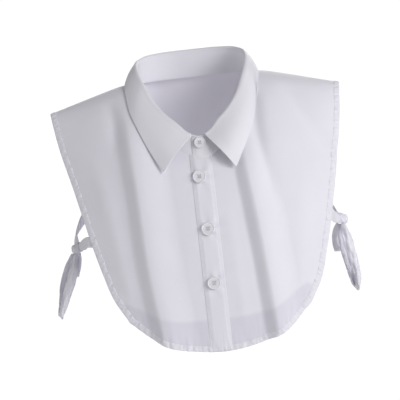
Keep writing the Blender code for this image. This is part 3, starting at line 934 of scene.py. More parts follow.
def stand_place(u, v):
    """The band round the neck, from its lower end round the back to its upper end."""
    lap = STAND_LAP / NECK_FRONT
    turn = lap - u * (2 * math.pi + 2 * lap)
    angle = turn if turn > -math.pi else turn + 2 * math.pi
    lift = lap_lift(max(angle, 0.0)) if turn < -math.pi else 0.0
    base = stand_foot(angle)
    top = fold_point(angle, 0.0, -STAND_TOP_GAP)
    from_end = min(u, 1 - u) * (2 * math.pi + 2 * lap) * NECK_FRONT
    lift *= STAND_CORNER_LIFT + (1 - STAND_CORNER_LIFT) * blend(0.0, STAND_CORNER, from_end)
    base = base + (base - top).normalized() * STAND_UNDER
    if from_end < STAND_CORNER:
        short = STAND_CORNER - math.sqrt(STAND_CORNER**2 - (STAND_CORNER - from_end) ** 2)
        top = top + (base - top).normalized() * short
    point = base.lerp(top, v)
    outwards = Vector((math.sin(angle), -math.cos(angle), 0))
    return point + outwards * lift


@cache
def leaf_edge(angle):
    """The leaf's outer edge, lying on the panels."""
    degrees = math.degrees(abs(angle))
    edge = LEAF_EDGE_LEFT if angle > 0 else LEAF_EDGE_RIGHT
    x = math.copysign(through(edge, degrees, 1), angle)
    along = through(edge, degrees, 2)
    return cloth_point(x, along, LEAF_CLEAR + lap_lift(abs(angle)))


def leaf_place(u, v):
    """The turned-down collar: a small roll over the stand's top, then out to the edge."""
    first = math.asin(LEAF_START_LEFT / FOLD_HALF)
    last = -math.asin(LEAF_START_RIGHT / FOLD_HALF)
    if u < 0.5:
        angle = math.pi - (math.pi - first) * (1 - 2 * u)
    else:
        angle = -math.pi + (math.pi + last) * (2 * u - 1)
    near_end = 1.0 - blend(*LEAF_END_REACH, abs(angle))
    drop = LEAF_END_DROP * near_end
    lift = (lap_lift(angle) if angle > 0 else 0.0) + LEAF_END_OUT * near_end
    rows = len(LEAF_ROLL) - 1
    if v <= LEAF_ROLL_SHARE:
        step = v / LEAF_ROLL_SHARE * rows
        i = min(int(step), rows - 1)
        low, high = LEAF_ROLL[i], LEAF_ROLL[i + 1]
        out = low[0] + (high[0] - low[0]) * (step - i)
        up = low[1] + (high[1] - low[1]) * (step - i)
        return fold_point(angle, out + lift, up - drop)
    share = (v - LEAF_ROLL_SHARE) / (1 - LEAF_ROLL_SHARE)
    start = fold_point(angle, LEAF_ROLL[-1][0] + lift, LEAF_ROLL[-1][1] - drop)
    end = leaf_edge(angle)
    outwards = Vector((math.sin(angle), -math.cos(angle), BOW_RISE)).normalized()
    bow = LEAF_BOW * (1.0 - blend(*BOW_ENDS, abs(angle)))
    off = FRONT_LIFT * max(1.0 - abs(angle) / FRONT_LIFT_END, 0.0) ** FRONT_LIFT_POWER
    forward = Vector((math.sin(angle), -math.cos(angle), 0))
    return (
        start.lerp(end, share)
        + outwards * (bow + LEAF_SIDE_BOW) * math.sin(math.pi * share)
        + forward * off * math.sin(FRONT_LIFT_TURN * math.pi * share)
    )


def sewn_points(side, edge_rows, place, z):
    """Where a tape is sewn inside a panel's armhole edge and just past it, and its facing there."""
    edge = through(edge_rows, z)
    inside = -(PANEL_WALL / 2 + TAPE_WALL / 2 + 2 * SEAM_GAP)
    points = [place(side * (edge + past), z, inside) for past in SEWN_REACH]
    facing = [place(side * edge, z, 1.0) - place(side * edge, z)] * 3
    return points, facing


def at_knot(centre, towards):
    """Where a tape that comes from this point meets the knot."""
    way = (Vector(towards) - Vector(centre)).normalized()
    reach = 1.0 / math.sqrt(sum((way[i] / KNOT_RADII[i]) ** 2 for i in range(3)))
    return Vector(centre) + way * (reach + SEAM_GAP)


def colour(text):
    """An sRGB hex value as a linear colour."""
    parts = [int(text[i : i + 2], 16) / 255 for i in (1, 3, 5)]
    linear = [p / 12.92 if p <= 0.04045 else ((p + 0.055) / 1.055) ** 2.4 for p in parts]
    return (*linear, 1.0)


def add_node(tree, kind, settings=(), values=(), links=()):
    """A node with its settings, the values of its inputs, and (output, input) links into it."""
    made = tree.nodes.new(kind)
    for name, value in dict(settings).items():
        setattr(made, name, value)
    for name, value in dict(values).items():
        made.inputs[name].default_value = value
    for output, name in links:
        tree.links.new(output, made.inputs[name])
    return made


def new_material(name, roughness, sheen=0.0):
    """A Principled material and its tree and shader."""
    made = bpy.data.materials.new(name)
    made.use_nodes = True
    shader = made.node_tree.nodes["Principled BSDF"]
    shader.inputs["Roughness"].default_value = roughness
    shader.inputs["Sheen Weight"].default_value = sheen
    return made, made.node_tree, shader


def mottled(tree, place, scale, detail, one, other):
    """A colour that wanders between two sRGB hex values in soft patches."""
    patches = add_node(
        tree,
        "ShaderNodeTexNoise",
        (),
        {"Scale": scale, "Detail": detail},
        [(place, "Vector")],
    )
    return add_node(
        tree,
        "ShaderNodeMix",
        {"data_type": "RGBA"},
        {"A": colour(one), "B": colour(other)},
        [(patches.outputs["Fac"], "Factor")],
    ).outputs["Result"]


def woven(name, light, dark, thread, bump, roughness=0.78, unbacked_shade_hex=None):
    """White cotton in a plain weave: matt, with a fine even grain and a faint sheen of fibres.

    Real threads of 0.2 mm are too fine to show, so they are drawn at the given size.
    """
    made, tree, shader = new_material(name, roughness, 0.25)
    shader.inputs["Sheen Roughness"].default_value = 0.5
    uv = add_node(tree, "ShaderNodeUVMap", {"uv_map": "cloth"}).outputs["UV"]
    threads = []
    slub = 1 / (SLUB_LENGTH * thread)
    for scale in ((slub, 1 / thread, 1.0), (1 / thread, slub, 1.0)):
        lay = add_node(tree, "ShaderNodeMapping", (), {"Scale": scale}, [(uv, "Vector")])
        grain = add_node(
            tree,
            "ShaderNodeTexNoise",
            (),
            {"Scale": 1.0, "Detail": 1.0},
            [(lay.outputs["Vector"], "Vector")],
        )
        threads.append(grain.outputs["Fac"])
    weave = add_node(
        tree,
        "ShaderNodeMath",
        {"operation": "MAXIMUM"},
        (),
        [(threads[0], 0), (threads[1], 1)],
    ).outputs["Value"]
    raised = add_node(
        tree,
        "ShaderNodeBump",
        (),
        {"Strength": bump, "Distance": 0.0004},
        [(weave, "Height")],
    )
    tree.links.new(raised.outputs["Normal"], shader.inputs["Normal"])
    # Faint clouds of 45 mm
    tone = mottled(tree, uv, 22.0, 2.0, dark, light)
    if unbacked_shade_hex:
        # Painted shade: with no layer behind it the cloth lets light through and looks a little
        # darker, so its colour is painted darker there in place of that light
        seen = add_node(tree, "ShaderNodeAttribute", {"attribute_name": "unbacked_shade_mask"})
        tone = add_node(
            tree,
            "ShaderNodeMix",
            {"data_type": "RGBA"},
            {"B": colour(unbacked_shade_hex)},
            [(seen.outputs["Fac"], "Factor"), (tone, "A")],
        ).outputs["Result"]
    tree.links.new(tone, shader.inputs["Base Color"])
    return made


def finished(name, shape, finish, nodes=(), wall=0.0):
    """A finished piece from a bmesh: smooth, in its material, riding on the part."""
    mesh = bpy.data.meshes.new(name)
    shape.to_mesh(mesh)
    shape.free()
    mesh.materials.append(finish)
    mesh.shade_smooth()
    made = bpy.data.objects.new(name, mesh)
    bpy.context.scene.collection.objects.link(made)
    if wall:
        thicken = made.modifiers.new("wall", "SOLIDIFY")
        thicken.thickness = wall
        thicken.offset = 0.0
    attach(made, "root")
    if nodes:
        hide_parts(*nodes)
    return made


def draped_grid(across, down, place, size, unbacked_shade_mask=None):
    """A grid laid on its surface by place(u, v), with its cloth's own map in metres."""
    shape = bmesh.new()
    bmesh.ops.create_grid(shape, x_segments=across, y_segments=down, size=0.5)
    uv = shape.loops.layers.uv.new("cloth")
    for face in shape.faces:
        for loop in face.loops:
            co = loop.vert.co
            loop[uv].uv = ((co.x + 0.5) * size[0], (co.y + 0.5) * size[1])
    # The mask of the painted shade, where no second layer backs the cloth
    layer = shape.verts.layers.float.new("unbacked_shade_mask") if unbacked_shade_mask else None
    for vertex in shape.verts:
        u, v = vertex.co.x + 0.5, vertex.co.y + 0.5
        vertex.co = place(u, v)
        if layer:
            vertex[layer] = unbacked_shade_mask(vertex.co)
    return shape


def below_back_hem(point):
    """1 where a front has no back panel seen through it, from a little above its own hem: the mask
    for the poplin's painted shade there.
    """
    above = above_front_hem(point.x, point.z)
    height = through(SEE_THROUGH_BACK, abs(point.x - FRONT_LEAN))
    side = 1.0 - blend(*SEE_THROUGH_SIDE, abs(point.x))
    return (1.0 - blend(height - SEE_THROUGH_SOFT, height + SEE_THROUGH_SOFT, above)) * side


class EdgeLine:
    """A line over the panels, in place across and distance along, read by its own length."""

    def __init__(self, points, inward):
        self.points = points
        self.lengths = [0.0]
        for a, b in zip(points, points[1:]):
            self.lengths.append(self.lengths[-1] + math.hypot(b[0] - a[0], b[1] - a[1]))
        self.length = self.lengths[-1]
        self.inward = inward

    def flat(self, s):
        """Place across and distance along at this length."""
        s = min(max(s, 0.0), self.length)
        i = min(bisect_right(self.lengths, s), len(self.points) - 1) - 1
        a, b = self.points[i], self.points[i + 1]
        share = (s - self.lengths[i]) / (self.lengths[i + 1] - self.lengths[i])
        return a[0] + (b[0] - a[0]) * share, a[1] + (b[1] - a[1]) * share

    def point(self, s, inset=0.0, out=0.0):
        """A point of the cloth, this far in from the line and out from the cloth."""
        before, after = self.flat(s - EDGE_STEP), self.flat(s + EDGE_STEP)
        here = self.flat(s)
        across, along = after[0] - before[0], after[1] - before[1]
        size = math.hypot(across, along) * self.inward
        return cloth_point(here[0] - along / size * inset, here[1] + across / size * inset, out)


def front_edges(side, start):
    """A front's free edge in flat points, from the shoulder tip down and round to the centre."""
    top_along = SEAM_FORWARD + SEWN_GAP
    end_along = front_hem_point(side, start, 1)[1]
    points = []
    for i in range(EDGE_POINTS + 1):
        v = i / EDGE_POINTS
        along = top_along + v * (end_along - top_along)
        points.append((side * front_half_width(side, along, v), along))
    for i in range(1, EDGE_POINTS + 1):
        x, along = front_hem_point(side, start, 1 - i / EDGE_POINTS)
        points.append((side * x, along))
    return EdgeLine(points, side)


def back_edges():
    """The back's free edge, from the wearer's right shoulder tip round to the left one."""
    top_along = SEAM_FORWARD - SEWN_GAP
    end_x = BACK_HEM[-1][0]
    end_along = -along_to(end_x, through(BACK_HEM, end_x))
    side = []
    for i in range(EDGE_POINTS + 1):
        along = top_along + i / EDGE_POINTS * (end_along - top_along)
        side.append((-side_edge(BACK_SIDE, -along), along))
    hem = []
    for i in range(1, EDGE_POINTS):
        x = -end_x * math.cos(i / EDGE_POINTS * math.pi)
        hem.append((x, -along_to(x, through(BACK_HEM, abs(x)))))
    other = [(-x, along) for x, along in reversed(side)]
    return EdgeLine(side + hem + other, 1)


def hem_strip(name, edge, finish, steps):
    """A narrow turned hem: the cloth rolled over the edge, its layers a little uneven."""

    def place(u, v):
        s = u * edge.length
        uneven = HEM_UNEVEN * wavering(s, HEM_UNEVEN_WAVES)
        turn = (v - 0.5) * 2
        if abs(turn) < HEM_TURN:
            angle = turn / HEM_TURN * math.pi / 2
            past_edge = HEM_OUT * HEM_ROLL * math.cos(angle)
            return edge.point(s, -past_edge, HEM_OUT * math.sin(angle))
        share = (abs(turn) - HEM_TURN) / (1 - HEM_TURN)
        puff = HEM_PUFF * math.sin(math.pi * share) ** 0.5 - HEM_SINK * share**2
        pull = HEM_PULL * wavering(s, HEM_PULL_WAVES) * math.sin(math.pi * share)
        out = math.copysign(HEM_OUT + puff + pull, turn)
        return edge.point(s, share * (HEM_WIDTH + uneven), out)

    shape = draped_grid(steps, HEM_ROWS, place, (edge.length, 2 * HEM_WIDTH))
    return finished(name, shape, finish, wall=HEM_WALL)


def stitch_row(shape, read, length, spacing, thick):
    """Stitches along a line: read(s) gives a point of it, just out of the cloth."""
    count = int(length / spacing)
    for i in range(count):
        a, b = (read((i + part) / count * length) for part in STITCH_SPAN)
        way = b - a
        turn = way.to_track_quat("Z", "Y").to_matrix().to_4x4()
        size = Matrix.Diagonal((thick, thick, way.length / 2, 1.0))
        bmesh.ops.create_icosphere(
            shape,
            subdivisions=1,
            radius=1.0,
            matrix=Matrix.Translation((a + b) / 2) @ turn @ size,
        )


def sized(name):
    """The sizes and colours that the panel shows."""
    return getattr(bpy.context.scene, name)


def sewn_row(shape, read, length, spacing=None):
    """A row of stitches of the panel's thread, as far apart as it says."""
    sizes = sized("false_collar_sizes")
    stitch_row(shape, read, length, spacing or sizes.stitch, sizes.thread)


def hem_row(shape, edge):
    """The stitches that hold a turned hem down."""
    out = HEM_OUT + HEM_WALL / 2 - HEM_SINK * HEM_ROW_SINK
    sewn_row(shape, lambda s: edge.point(s, HEM_WIDTH - HEM_ROW_IN, out), edge.length)


class FalseCollarSizes(bpy.types.PropertyGroup):
    """The sizes that a user would change."""

    shell: bpy.props.FloatProperty(
        name="Cloth thickness",
        description="How thick the fronts and the back are drawn",
        default=0.0005,
        unit="LENGTH",
    )
    stitch: bpy.props.FloatProperty(
        name="Stitch length",
        description="From one stitch to the next",
        default=0.0024,
        unit="LENGTH",
    )
    thread: bpy.props.FloatProperty(
        name="Thread thickness",
        description="Half the thickness of the sewing thread, drawn a little strong",
        default=0.00013,
        unit="LENGTH",
    )
    camera_distance: bpy.props.FloatProperty(
        name="Camera distance",
        description="From the camera to the middle of the garment",
        default=2.5,
        unit="LENGTH",
    )


class FalseCollarColours(bpy.types.PropertyGroup):
    """The colours that a user would change, as sRGB hex values."""

    poplin: bpy.props.StringProperty(
        name="Poplin", description="Colour of the fronts and back", default="#EAE8F1"
    )
    poplin_shade: bpy.props.StringProperty(
        name="Poplin shade", description="The cloudy darker tone of the poplin", default="#E4E2EB"
    )
    # Painted shade: the poplin painted darker where no second layer backs it, in place of the light
    # that layer would give back through it
    single: bpy.props.StringProperty(
        name="Single layer",
        description="The poplin where no second layer backs it",
        default="#DDDBE6",
    )
    collar: bpy.props.StringProperty(
        name="Collar", description="Colour of the fused collar", default="#EBEAF1"
    )
    collar_shade: bpy.props.StringProperty(
        name="Collar shade", description="Darker tone of the fused collar", default="#E6E4EC"
    )
    thread: bpy.props.StringProperty(
        name="Thread", description="Colour of the sewing thread", default="#E4E2EA"
    )
    resin: bpy.props.StringProperty(
        name="Buttons", description="Colour of the button resin", default="#E4E3EA"
    )
    floor: bpy.props.StringProperty(
        name="Floor", description="Colour of the floor", default="#F2F2F2"
    )


def cloths():
    """The poplin, the fused collar poplin, the tape and the thread, made once."""
    hexes = sized("false_collar_colours")
    if "white_cotton_poplin_woven" not in bpy.data.materials:
        woven(
            "white_cotton_poplin_woven",
            hexes.poplin,
            hexes.poplin_shade,
            thread=0.0007,
            bump=0.25,
            # Painted shade where no second layer backs the poplin
            unbacked_shade_hex=hexes.single,
        )
        # Pressed with a fused layer inside, so it is smoother and its weave flatter
        woven(
            "white_fused_poplin_pressed",
            hexes.collar,
            hexes.collar_shade,
            thread=0.0006,
            bump=0.16,
            roughness=0.70,
        )
        # Folded four times, so its weave stands out more
        woven(
            "white_poplin_tape_folded",
            hexes.poplin,
            hexes.poplin_shade,
            thread=0.0006,
            bump=0.30,
        )
        spun_thread("white_polyester_thread_spun", hexes.thread)
    return [
        bpy.data.materials[name]
        for name in (
            "white_cotton_poplin_woven",
            "white_fused_poplin_pressed",
            "white_poplin_tape_folded",
            "white_polyester_thread_spun",
        )
    ]


def spun_thread(name, text):
    """Spun polyester thread: matt, with flecks of white painted as painted highlights where its
    small twist catches the light.
    """
    made, tree, shader = new_material(name, 0.60, 0.15)
    place = add_node(tree, "ShaderNodeTexCoord").outputs["Object"]
    # A twist of 0.25 mm, drawn as flecks of white: painted highlights where it catches the light
    tone = mottled(tree, place, 4000.0, 1.0, "#FFFFFF", text)
    tree.links.new(tone, shader.inputs["Base Color"])
    return made


class FALSECOLLAR_OT_fronts(bpy.types.Operator):
    """The two fronts, their turned hems and the hems' stitches"""

    bl_idname = "false_collar.fronts"
    bl_label = "Fronts"

    def execute(self, context):
        shell = sized("false_collar_sizes").shell
        poplin, _, _, thread = cloths()
        for name, side, start in (
            ("left", 1, UNDER_EDGE + SEAM_GAP),
            ("right", -1, -UNDER_EDGE),
        ):
            shape = draped_grid(*PANEL_STEPS, front_patch(side, start), PANEL_MAP, below_back_hem)
            panel = finished(
                f"front_panel_{name}", shape, poplin, [f"front_{name}"], shell
            )
            edge = front_edges(side, start)
            hem = hem_strip(f"front_hem_{name}", edge, poplin, HEM_STEPS)
            sewing = bmesh.new()
            hem_row(sewing, edge)
            row = finished(f"front_hem_stitches_{name}", sewing, thread)
        return {"FINISHED"}


class FALSECOLLAR_OT_button_strip(bpy.types.Operator):
    """The button strip down the centre front and its stitches"""

    bl_idname = "false_collar.button_strip"
    bl_label = "Button strip"

    def execute(self, context):
        stitch = sized("false_collar_sizes").stitch
        poplin, _, _, thread = cloths()
        shape = draped_grid(*STRIP_STEPS, placket_place, (2 * PLACKET_HALF, STRIP_LENGTH))
        strip = finished("button_strip", shape, poplin, ["placket"], STRIP_WALL)
        sewing = bmesh.new()
        row_place = STRIP_ROW / (2 * PLACKET_HALF)
        out = Vector((0, -STRIP_WALL / 2 - STRIP_ROW_OUT, 0))
        for u in (row_place, 1 - row_place):
            sewn_row(sewing, lambda v, u=u: placket_place(u, v) + out, 1.0, stitch / STRIP_LENGTH)
        row = finished("button_strip_stitches", sewing, thread)
        return {"FINISHED"}


class FALSECOLLAR_OT_back(bpy.types.Operator):
    """The back panel with its turned hem, and the shoulder seams' stitches"""

    bl_idname = "false_collar.back"
    bl_label = "Back"

    def execute(self, context):
        shell = sized("false_collar_sizes").shell
        poplin, _, _, thread = cloths()
        shape = draped_grid(*BACK_STEPS, back_patch(), BACK_MAP)
        panel = finished("back_panel", shape, poplin, ["back"], shell)
        edge = back_edges()
        hem = hem_strip("back_hem", edge, poplin, 2 * HEM_STEPS)
        sewing = bmesh.new()
        hem_row(sewing, edge)
        along, out = SEAM_FORWARD - SHOULDER_ROW_IN, shell * 0.5 + SHOULDER_ROW_OUT
        for side in (-1, 1):
            sewn_row(
                sewing,
                lambda s, side=side: cloth_point(side * (SHOULDER_ROW_START + s), along, out),
                SHOULDER_ROW_LENGTH,
            )
        row = finished("back_stitches", sewing, thread)
        return {"FINISHED"}


class FALSECOLLAR_OT_collar(bpy.types.Operator):
    """The stand and the turned-down leaf, with their edge stitching"""

    bl_idname = "false_collar.collar"
    bl_label = "Collar"

    def execute(self, context):
        _, fused, _, thread = cloths()
        shape = draped_grid(*STAND_STEPS, stand_place, STAND_MAP)
        stand = finished(
            "collar_band", shape, fused, ["collar_stand"], STAND_WALL
        )
        shape = draped_grid(*LEAF_STEPS, leaf_place, LEAF_MAP)
        leaf = finished(
            "collar_turned_leaf", shape, fused, ["collar_leaf"], COLLAR_WALL
        )
        for piece in (stand, leaf):
            soften = piece.modifiers.new("edge", "BEVEL")
            soften.width = COLLAR_ROUND
            soften.segments = 2
            soften.limit_method = "ANGLE"
            soften.angle_limit = COLLAR_ROUND_FROM
        sewing = bmesh.new()
        sewn_row(sewing, leaf_row_point, LEAF_ROW_LENGTH)
        row = finished("collar_stitches", sewing, thread)
        return {"FINISHED"}


def leaf_row_point(s):
    """A point of the row inside the leaf's outer edge, at this length, just out of the cloth."""
    first, last = LEAF_ROW_ENDS
    u = min(max(s / LEAF_ROW_LENGTH, first), last)
    end, near = leaf_place(u, 1.0), leaf_place(u, 1.0 - LEAF_EDGE_STEP)
    v = 1.0 - LEAF_EDGE_STEP * LEAF_ROW_IN / (end - near).length
    here = leaf_place(u, v)
    before, after = max(u - LEAF_ACROSS_STEP, 0.0), min(u + LEAF_ACROSS_STEP, 1.0)
    normal = (leaf_place(after, v) - leaf_place(before, v)).cross(end - near).normalized()
    if normal.dot(here - NECK_MIDDLE) < 0:
        normal = -normal
    return here + normal * (COLLAR_WALL / 2 + LEAF_ROW_OUT)


class FALSECOLLAR_OT_buttons(bpy.types.Operator):
    """The buttons' resin and the thread that holds them"""

    bl_idname = "false_collar.buttons"
    bl_label = "Buttons"

    def execute(self, context):
        hexes = sized("false_collar_colours")
        resin = moulded_resin("milky_polyester_resin_turned", hexes.resin)
        for name in ("button_collar", *(row[0] for row in PLACKET_BUTTONS)):
            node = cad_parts[name]
            node.data.materials.clear()
            node.data.materials.append(resin)
            low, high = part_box(name)
            self.sew(name, (Vector(low) + Vector(high)) / 2)
        return {"FINISHED"}

    def sew(self, name, centre):
        """Two pairs of stitches across the holes."""
        thread = cloths()[3]
        if name == "button_collar":
            normal = collar_normal()
            reach = BUTTON_HOLE_REACH * COLLAR_BUTTON_SCALE
        else:
            x, z = next(row[1:] for row in PLACKET_BUTTONS if row[0] == name)
            normal = (plain_front(x, z, 0.01) - plain_front(x, z)).normalized()
            reach = BUTTON_HOLE_REACH
        turn = normal.to_track_quat("Z", "Y").to_matrix()
        sewing = bmesh.new()
        spread = reach * math.sqrt(0.5)
        half = spread + STRAND_PAST
        for side in (-1, 1):
            for apart in (-STRAND_APART, STRAND_APART):
                across = side * spread + apart
                low = centre + turn @ Vector((across, -half, STRAND_ABOVE))
                high = centre + turn @ Vector((across, half, STRAND_ABOVE))
                stitch_row(sewing, lambda s, a=low, b=high: a.lerp(b, s), 1.0, 1.0, STRAND_THICK)
        finished(f"{name}_thread", sewing, thread)


def collar_normal():
    """The way the collar button faces."""
    way = fold_point(0.0, 0.0, -STAND_TOP_GAP) - stand_foot(0.0)
    return Vector((0, -way.z, way.y)).normalized()


def moulded_resin(name, text):
    """Turned polyester resin: glossy and a little milky, so light passes into its rim."""
    made, tree, shader = new_material(name, 0.42)
    shader.inputs["Subsurface Weight"].default_value = 0.12
    shader.inputs["Subsurface Radius"].default_value = (1.0, 1.0, 1.0)
    shader.inputs["Subsurface Scale"].default_value = 0.001
    shader.inputs["Coat Weight"].default_value = 0.15
    shader.inputs["IOR"].default_value = 1.55
    place = add_node(tree, "ShaderNodeTexCoord").outputs["Object"]
    # Swirls of 6 mm in the resin
    tone = mottled(tree, place, 160.0, 1.0, text, "#EAE9EF")
    tree.links.new(tone, shader.inputs["Base Color"])
    return made


def ribbon(name, node, points, facing, steps, wavy=0.0, narrow=PLAIN_TAPE):
    """A flat folded tape along a path, its width square to the path and to the way it faces.

    narrow is a table of the share of the way along and of the full width that is left there.
    """
    path, faces = smooth_path(points, facing, steps)
    lengths = [0.0]
    for a, b in zip(path, path[1:]):
        lengths.append(lengths[-1] + (b - a).length)

    def place(u, v):
        i = round(v * steps)
        ahead = path[min(i + 1, steps)] - path[max(i - 1, 0)]
        side = ahead.cross(faces[i]).normalized()
        out = side.cross(ahead).normalized()
        s = lengths[i]
        left = through(narrow, s / lengths[-1])
        crumple = sum(math.sin(s * down + across * u) for down, across in TAPE_CRUMPLES)
        cup = math.cos(2 * math.pi * (u - 0.5)) * (TAPE_CUP[0] - TAPE_CUP[1] * left)
        lift = wavy * (cup + TAPE_CRUMPLE * crumple)
        uneven = 1.0 + TAPE_UNEVEN * math.sin(s * TAPE_UNEVEN_WAVES + 1.0)
        return path[i] + side * (TAPE_WIDTH * left * uneven) * (u - 0.5) + out * lift

    shape = draped_grid(TAPE_ACROSS, steps, place, (TAPE_WIDTH, lengths[-1]))
    piece = finished(name, shape, cloths()[2], [node], TAPE_WALL)
    return piece, lengths[-1]


class FALSECOLLAR_OT_ties(bpy.types.Operator):
    """The tapes sewn at the sides, their knots, and the loops and ends below them"""

    bl_idname = "false_collar.ties"
    bl_label = "Side ties"

    def execute(self, context):
        for side, tie in TIES.items():
            centre = tie["knot"]
            way = math.copysign(1.0, centre[0])
            for panel, edge_rows, place, z in (
                ("front", FRONT_SIDE, front_point, FRONT_TIE_HEIGHT),
                ("back", BACK_SIDE, back_point, BACK_TIE_HEIGHT),
            ):
                points, facing = tie[panel]
                sewn, sewn_facing = sewn_points(way, edge_rows, place, z)
                piece, length = ribbon(
                    f"{panel}_tape_{side}",
                    f"tie_{panel}_{side}",
                    [*sewn, *points, at_knot(centre, points[-1])],
                    [*sewn_facing, *facing],
                    TAPE_STEPS,
                )
            points, facing = tie["loop"]
            piece, length = ribbon(
                f"bow_loop_{side}",
                f"tie_loop_{side}",
                [at_knot(centre, points[0]), *points, at_knot(centre, points[-1])],
                facing,
                LOOP_STEPS,
                LOOP_WAVY,
                LOOP_TAPE,
            )
            points, facing = tie["tail"]
            piece, length = ribbon(
                f"bow_end_{side}",
                f"tie_tail_{side}",
                [at_knot(centre, points[0]), *points],
                facing,
                END_STEPS,
                END_WAVY,
                END_TAPE,
            )
            self.knot(side, Vector(centre))
        return {"FINISHED"}

    def knot(self, side, centre):
        """A knot of folded tape: a small core and a tape wrapped over it at a slant."""
        shape = bmesh.new()
        around, across = KNOT_CORE_STEPS
        bmesh.ops.create_uvsphere(shape, u_segments=around, v_segments=across, radius=1.0)
        lean = Matrix.Rotation(-math.copysign(KNOT_SLANT, centre.x), 3, "Y")
        for vertex in shape.verts:
            co = vertex.co
            # Pinched three times round, with fine crumples across
            size = KNOT_CORE + (
                KNOT_PINCH * math.cos(3 * math.atan2(co.y, co.z) + 0.6)
                + KNOT_CRUMPLE * math.cos(7 * co.x)
            )
            vertex.co = centre + Vector([co[i] * KNOT_RADII[i] * size for i in range(3)])
        around, across = KNOT_WRAP_STEPS
        wrap = bmesh.ops.create_grid(shape, x_segments=around, y_segments=across, size=0.5)
        for vertex in wrap["verts"]:
            angle = 2 * math.pi * (vertex.co.x + 0.5)
            v = 2 * vertex.co.y
            size = KNOT_WRAP + KNOT_CRUMPLE * math.cos(7 * v + 2 * angle) - KNOT_WRAP_EDGE * v * v
            wide = KNOT_WRAP_HALF * (1.0 + KNOT_WRAP_UNEVEN * math.cos(2 * angle + 0.5))
            place = lean @ Vector((wide * v, size * math.cos(angle), size * math.sin(angle)))
            vertex.co = centre + Vector([place[k] * KNOT_RADII[k] for k in range(3)])
        bmesh.ops.remove_doubles(shape, verts=wrap["verts"], dist=0.00001)
        bmesh.ops.recalc_face_normals(shape, faces=shape.faces)
        uv = shape.loops.layers.uv.new("cloth")
        for face in shape.faces:
            for loop in face.loops:
                loop[uv].uv = (loop.vert.co.x, loop.vert.co.z)
        finished(f"tied_knot_{side}", shape, cloths()[2], [f"tie_knot_{side}"])


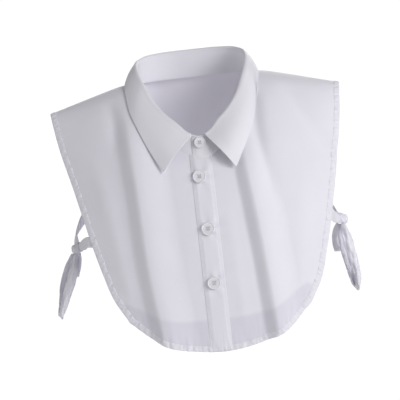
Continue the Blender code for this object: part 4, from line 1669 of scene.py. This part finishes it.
class FALSECOLLAR_OT_stage(bpy.types.Operator):
    """The floor, the light and the camera"""

    bl_idname = "false_collar.stage"
    bl_label = "Stage"

    def execute(self, context):
        self.floor()
        self.lights()
        self.camera()
        return {"FINISHED"}

    def floor(self):
        """A plain pale floor below the garment."""
        shape = bmesh.new()
        bmesh.ops.create_grid(shape, x_segments=4, y_segments=4, size=FLOOR_HALF)
        bmesh.ops.translate(shape, vec=(0, 0, FLOOR_HEIGHT), verts=shape.verts)
        mesh = bpy.data.meshes.new("studio_floor")
        shape.to_mesh(mesh)
        shape.free()
        matt, _, shader = new_material("pale_paint_rolled", 0.9)
        shader.inputs["Base Color"].default_value = colour(sized("false_collar_colours").floor)
        mesh.materials.append(matt)
        floor = bpy.data.objects.new("studio_floor", mesh)
        bpy.context.scene.collection.objects.link(floor)

    def lights(self):
        """A white room and soft boxes."""
        world = bpy.data.worlds.new("studio_room")
        world.use_nodes = True
        tree = world.node_tree
        back = tree.nodes["Background"]
        way = add_node(tree, "ShaderNodeTexCoord").outputs["Generated"]
        parts = add_node(tree, "ShaderNodeSeparateXYZ", (), (), [(way, "Vector")])
        band = {"From Min": ROOM_BAND[0], "From Max": ROOM_BAND[1]}
        strength = {"To Min": ROOM_DIM, "To Max": ROOM_BRIGHT}
        lit = add_node(
            tree,
            "ShaderNodeMapRange",
            (),
            {**band, **strength},
            [(parts.outputs["Y"], "Value")],
        )
        tree.links.new(lit.outputs["Result"], back.inputs["Strength"])
        back.inputs["Color"].default_value = colour("#FFFFFF")
        bpy.context.scene.world = world
        for name, around, lift, size, power in LAMPS:
            lamp = bpy.data.lights.new(name, "AREA")
            lamp.shape = "SQUARE"
            lamp.size = size
            lamp.energy = power
            holder = bpy.data.objects.new(name, lamp)
            turn, up = math.radians(around), math.radians(lift)
            way = Vector(
                (math.sin(turn) * math.cos(up), -math.cos(turn) * math.cos(up), math.sin(up))
            )
            holder.location = way * LAMP_DISTANCE + LAMP_TARGET
            holder.rotation_euler = (-way).to_track_quat("-Z", "Y").to_euler()
            bpy.context.scene.collection.objects.link(holder)
        bpy.context.scene.view_settings.view_transform = "Standard"

    def camera(self):
        """The photo's view: from the front, a little above, leaning."""
        distance = sized("false_collar_sizes").camera_distance
        back = Vector((0, -math.cos(CAMERA_LIFT), math.sin(CAMERA_LIFT)))
        lens = bpy.data.cameras.new("photo_camera")
        lens.sensor_width = SENSOR_WIDTH
        lens.lens = SENSOR_WIDTH * distance / PICTURE_WIDTH
        lens.shift_x, lens.shift_y = CAMERA_SHIFT
        lens.clip_start, lens.clip_end = CAMERA_CLIP
        camera = bpy.data.objects.new("photo_camera", lens)
        turn = (-back).to_track_quat("-Z", "Y").to_matrix()
        turn = turn @ Matrix.Rotation(CAMERA_LEAN, 3, "Z")
        camera.matrix_world = Matrix.Translation(CAMERA_TARGET + back * distance) @ turn.to_4x4()
        bpy.context.scene.collection.objects.link(camera)
        bpy.context.scene.camera = camera


OPERATORS = (
    FALSECOLLAR_OT_stage,
    FALSECOLLAR_OT_fronts,
    FALSECOLLAR_OT_button_strip,
    FALSECOLLAR_OT_back,
    FALSECOLLAR_OT_collar,
    FALSECOLLAR_OT_buttons,
    FALSECOLLAR_OT_ties,
)


class FALSECOLLAR_PT_panel(bpy.types.Panel):
    """Lists the pieces, sizes and colours"""

    bl_idname = "FALSECOLLAR_PT_panel"
    bl_label = "False collar"
    bl_space_type = "VIEW_3D"
    bl_region_type = "UI"
    bl_category = "False collar"

    def draw(self, context):
        for group in ("false_collar_sizes", "false_collar_colours"):
            values = getattr(context.scene, group)
            for name in values.__annotations__:
                self.layout.prop(values, name)
        for operator in OPERATORS:
            self.layout.operator(operator.bl_idname)


CLASSES = (FalseCollarSizes, FalseCollarColours, *OPERATORS, FALSECOLLAR_PT_panel)


def register():
    for kind in CLASSES:
        bpy.utils.register_class(kind)
    bpy.types.Scene.false_collar_sizes = bpy.props.PointerProperty(type=FalseCollarSizes)
    bpy.types.Scene.false_collar_colours = bpy.props.PointerProperty(type=FalseCollarColours)


def unregister():
    del bpy.types.Scene.false_collar_colours
    del bpy.types.Scene.false_collar_sizes
    for kind in reversed(CLASSES):
        bpy.utils.unregister_class(kind)


def main():
    register()
    for operator in OPERATORS:
        group, name = operator.bl_idname.split(".")
        getattr(getattr(bpy.ops, group), name)()


if __name__ == "__main__":
    main()
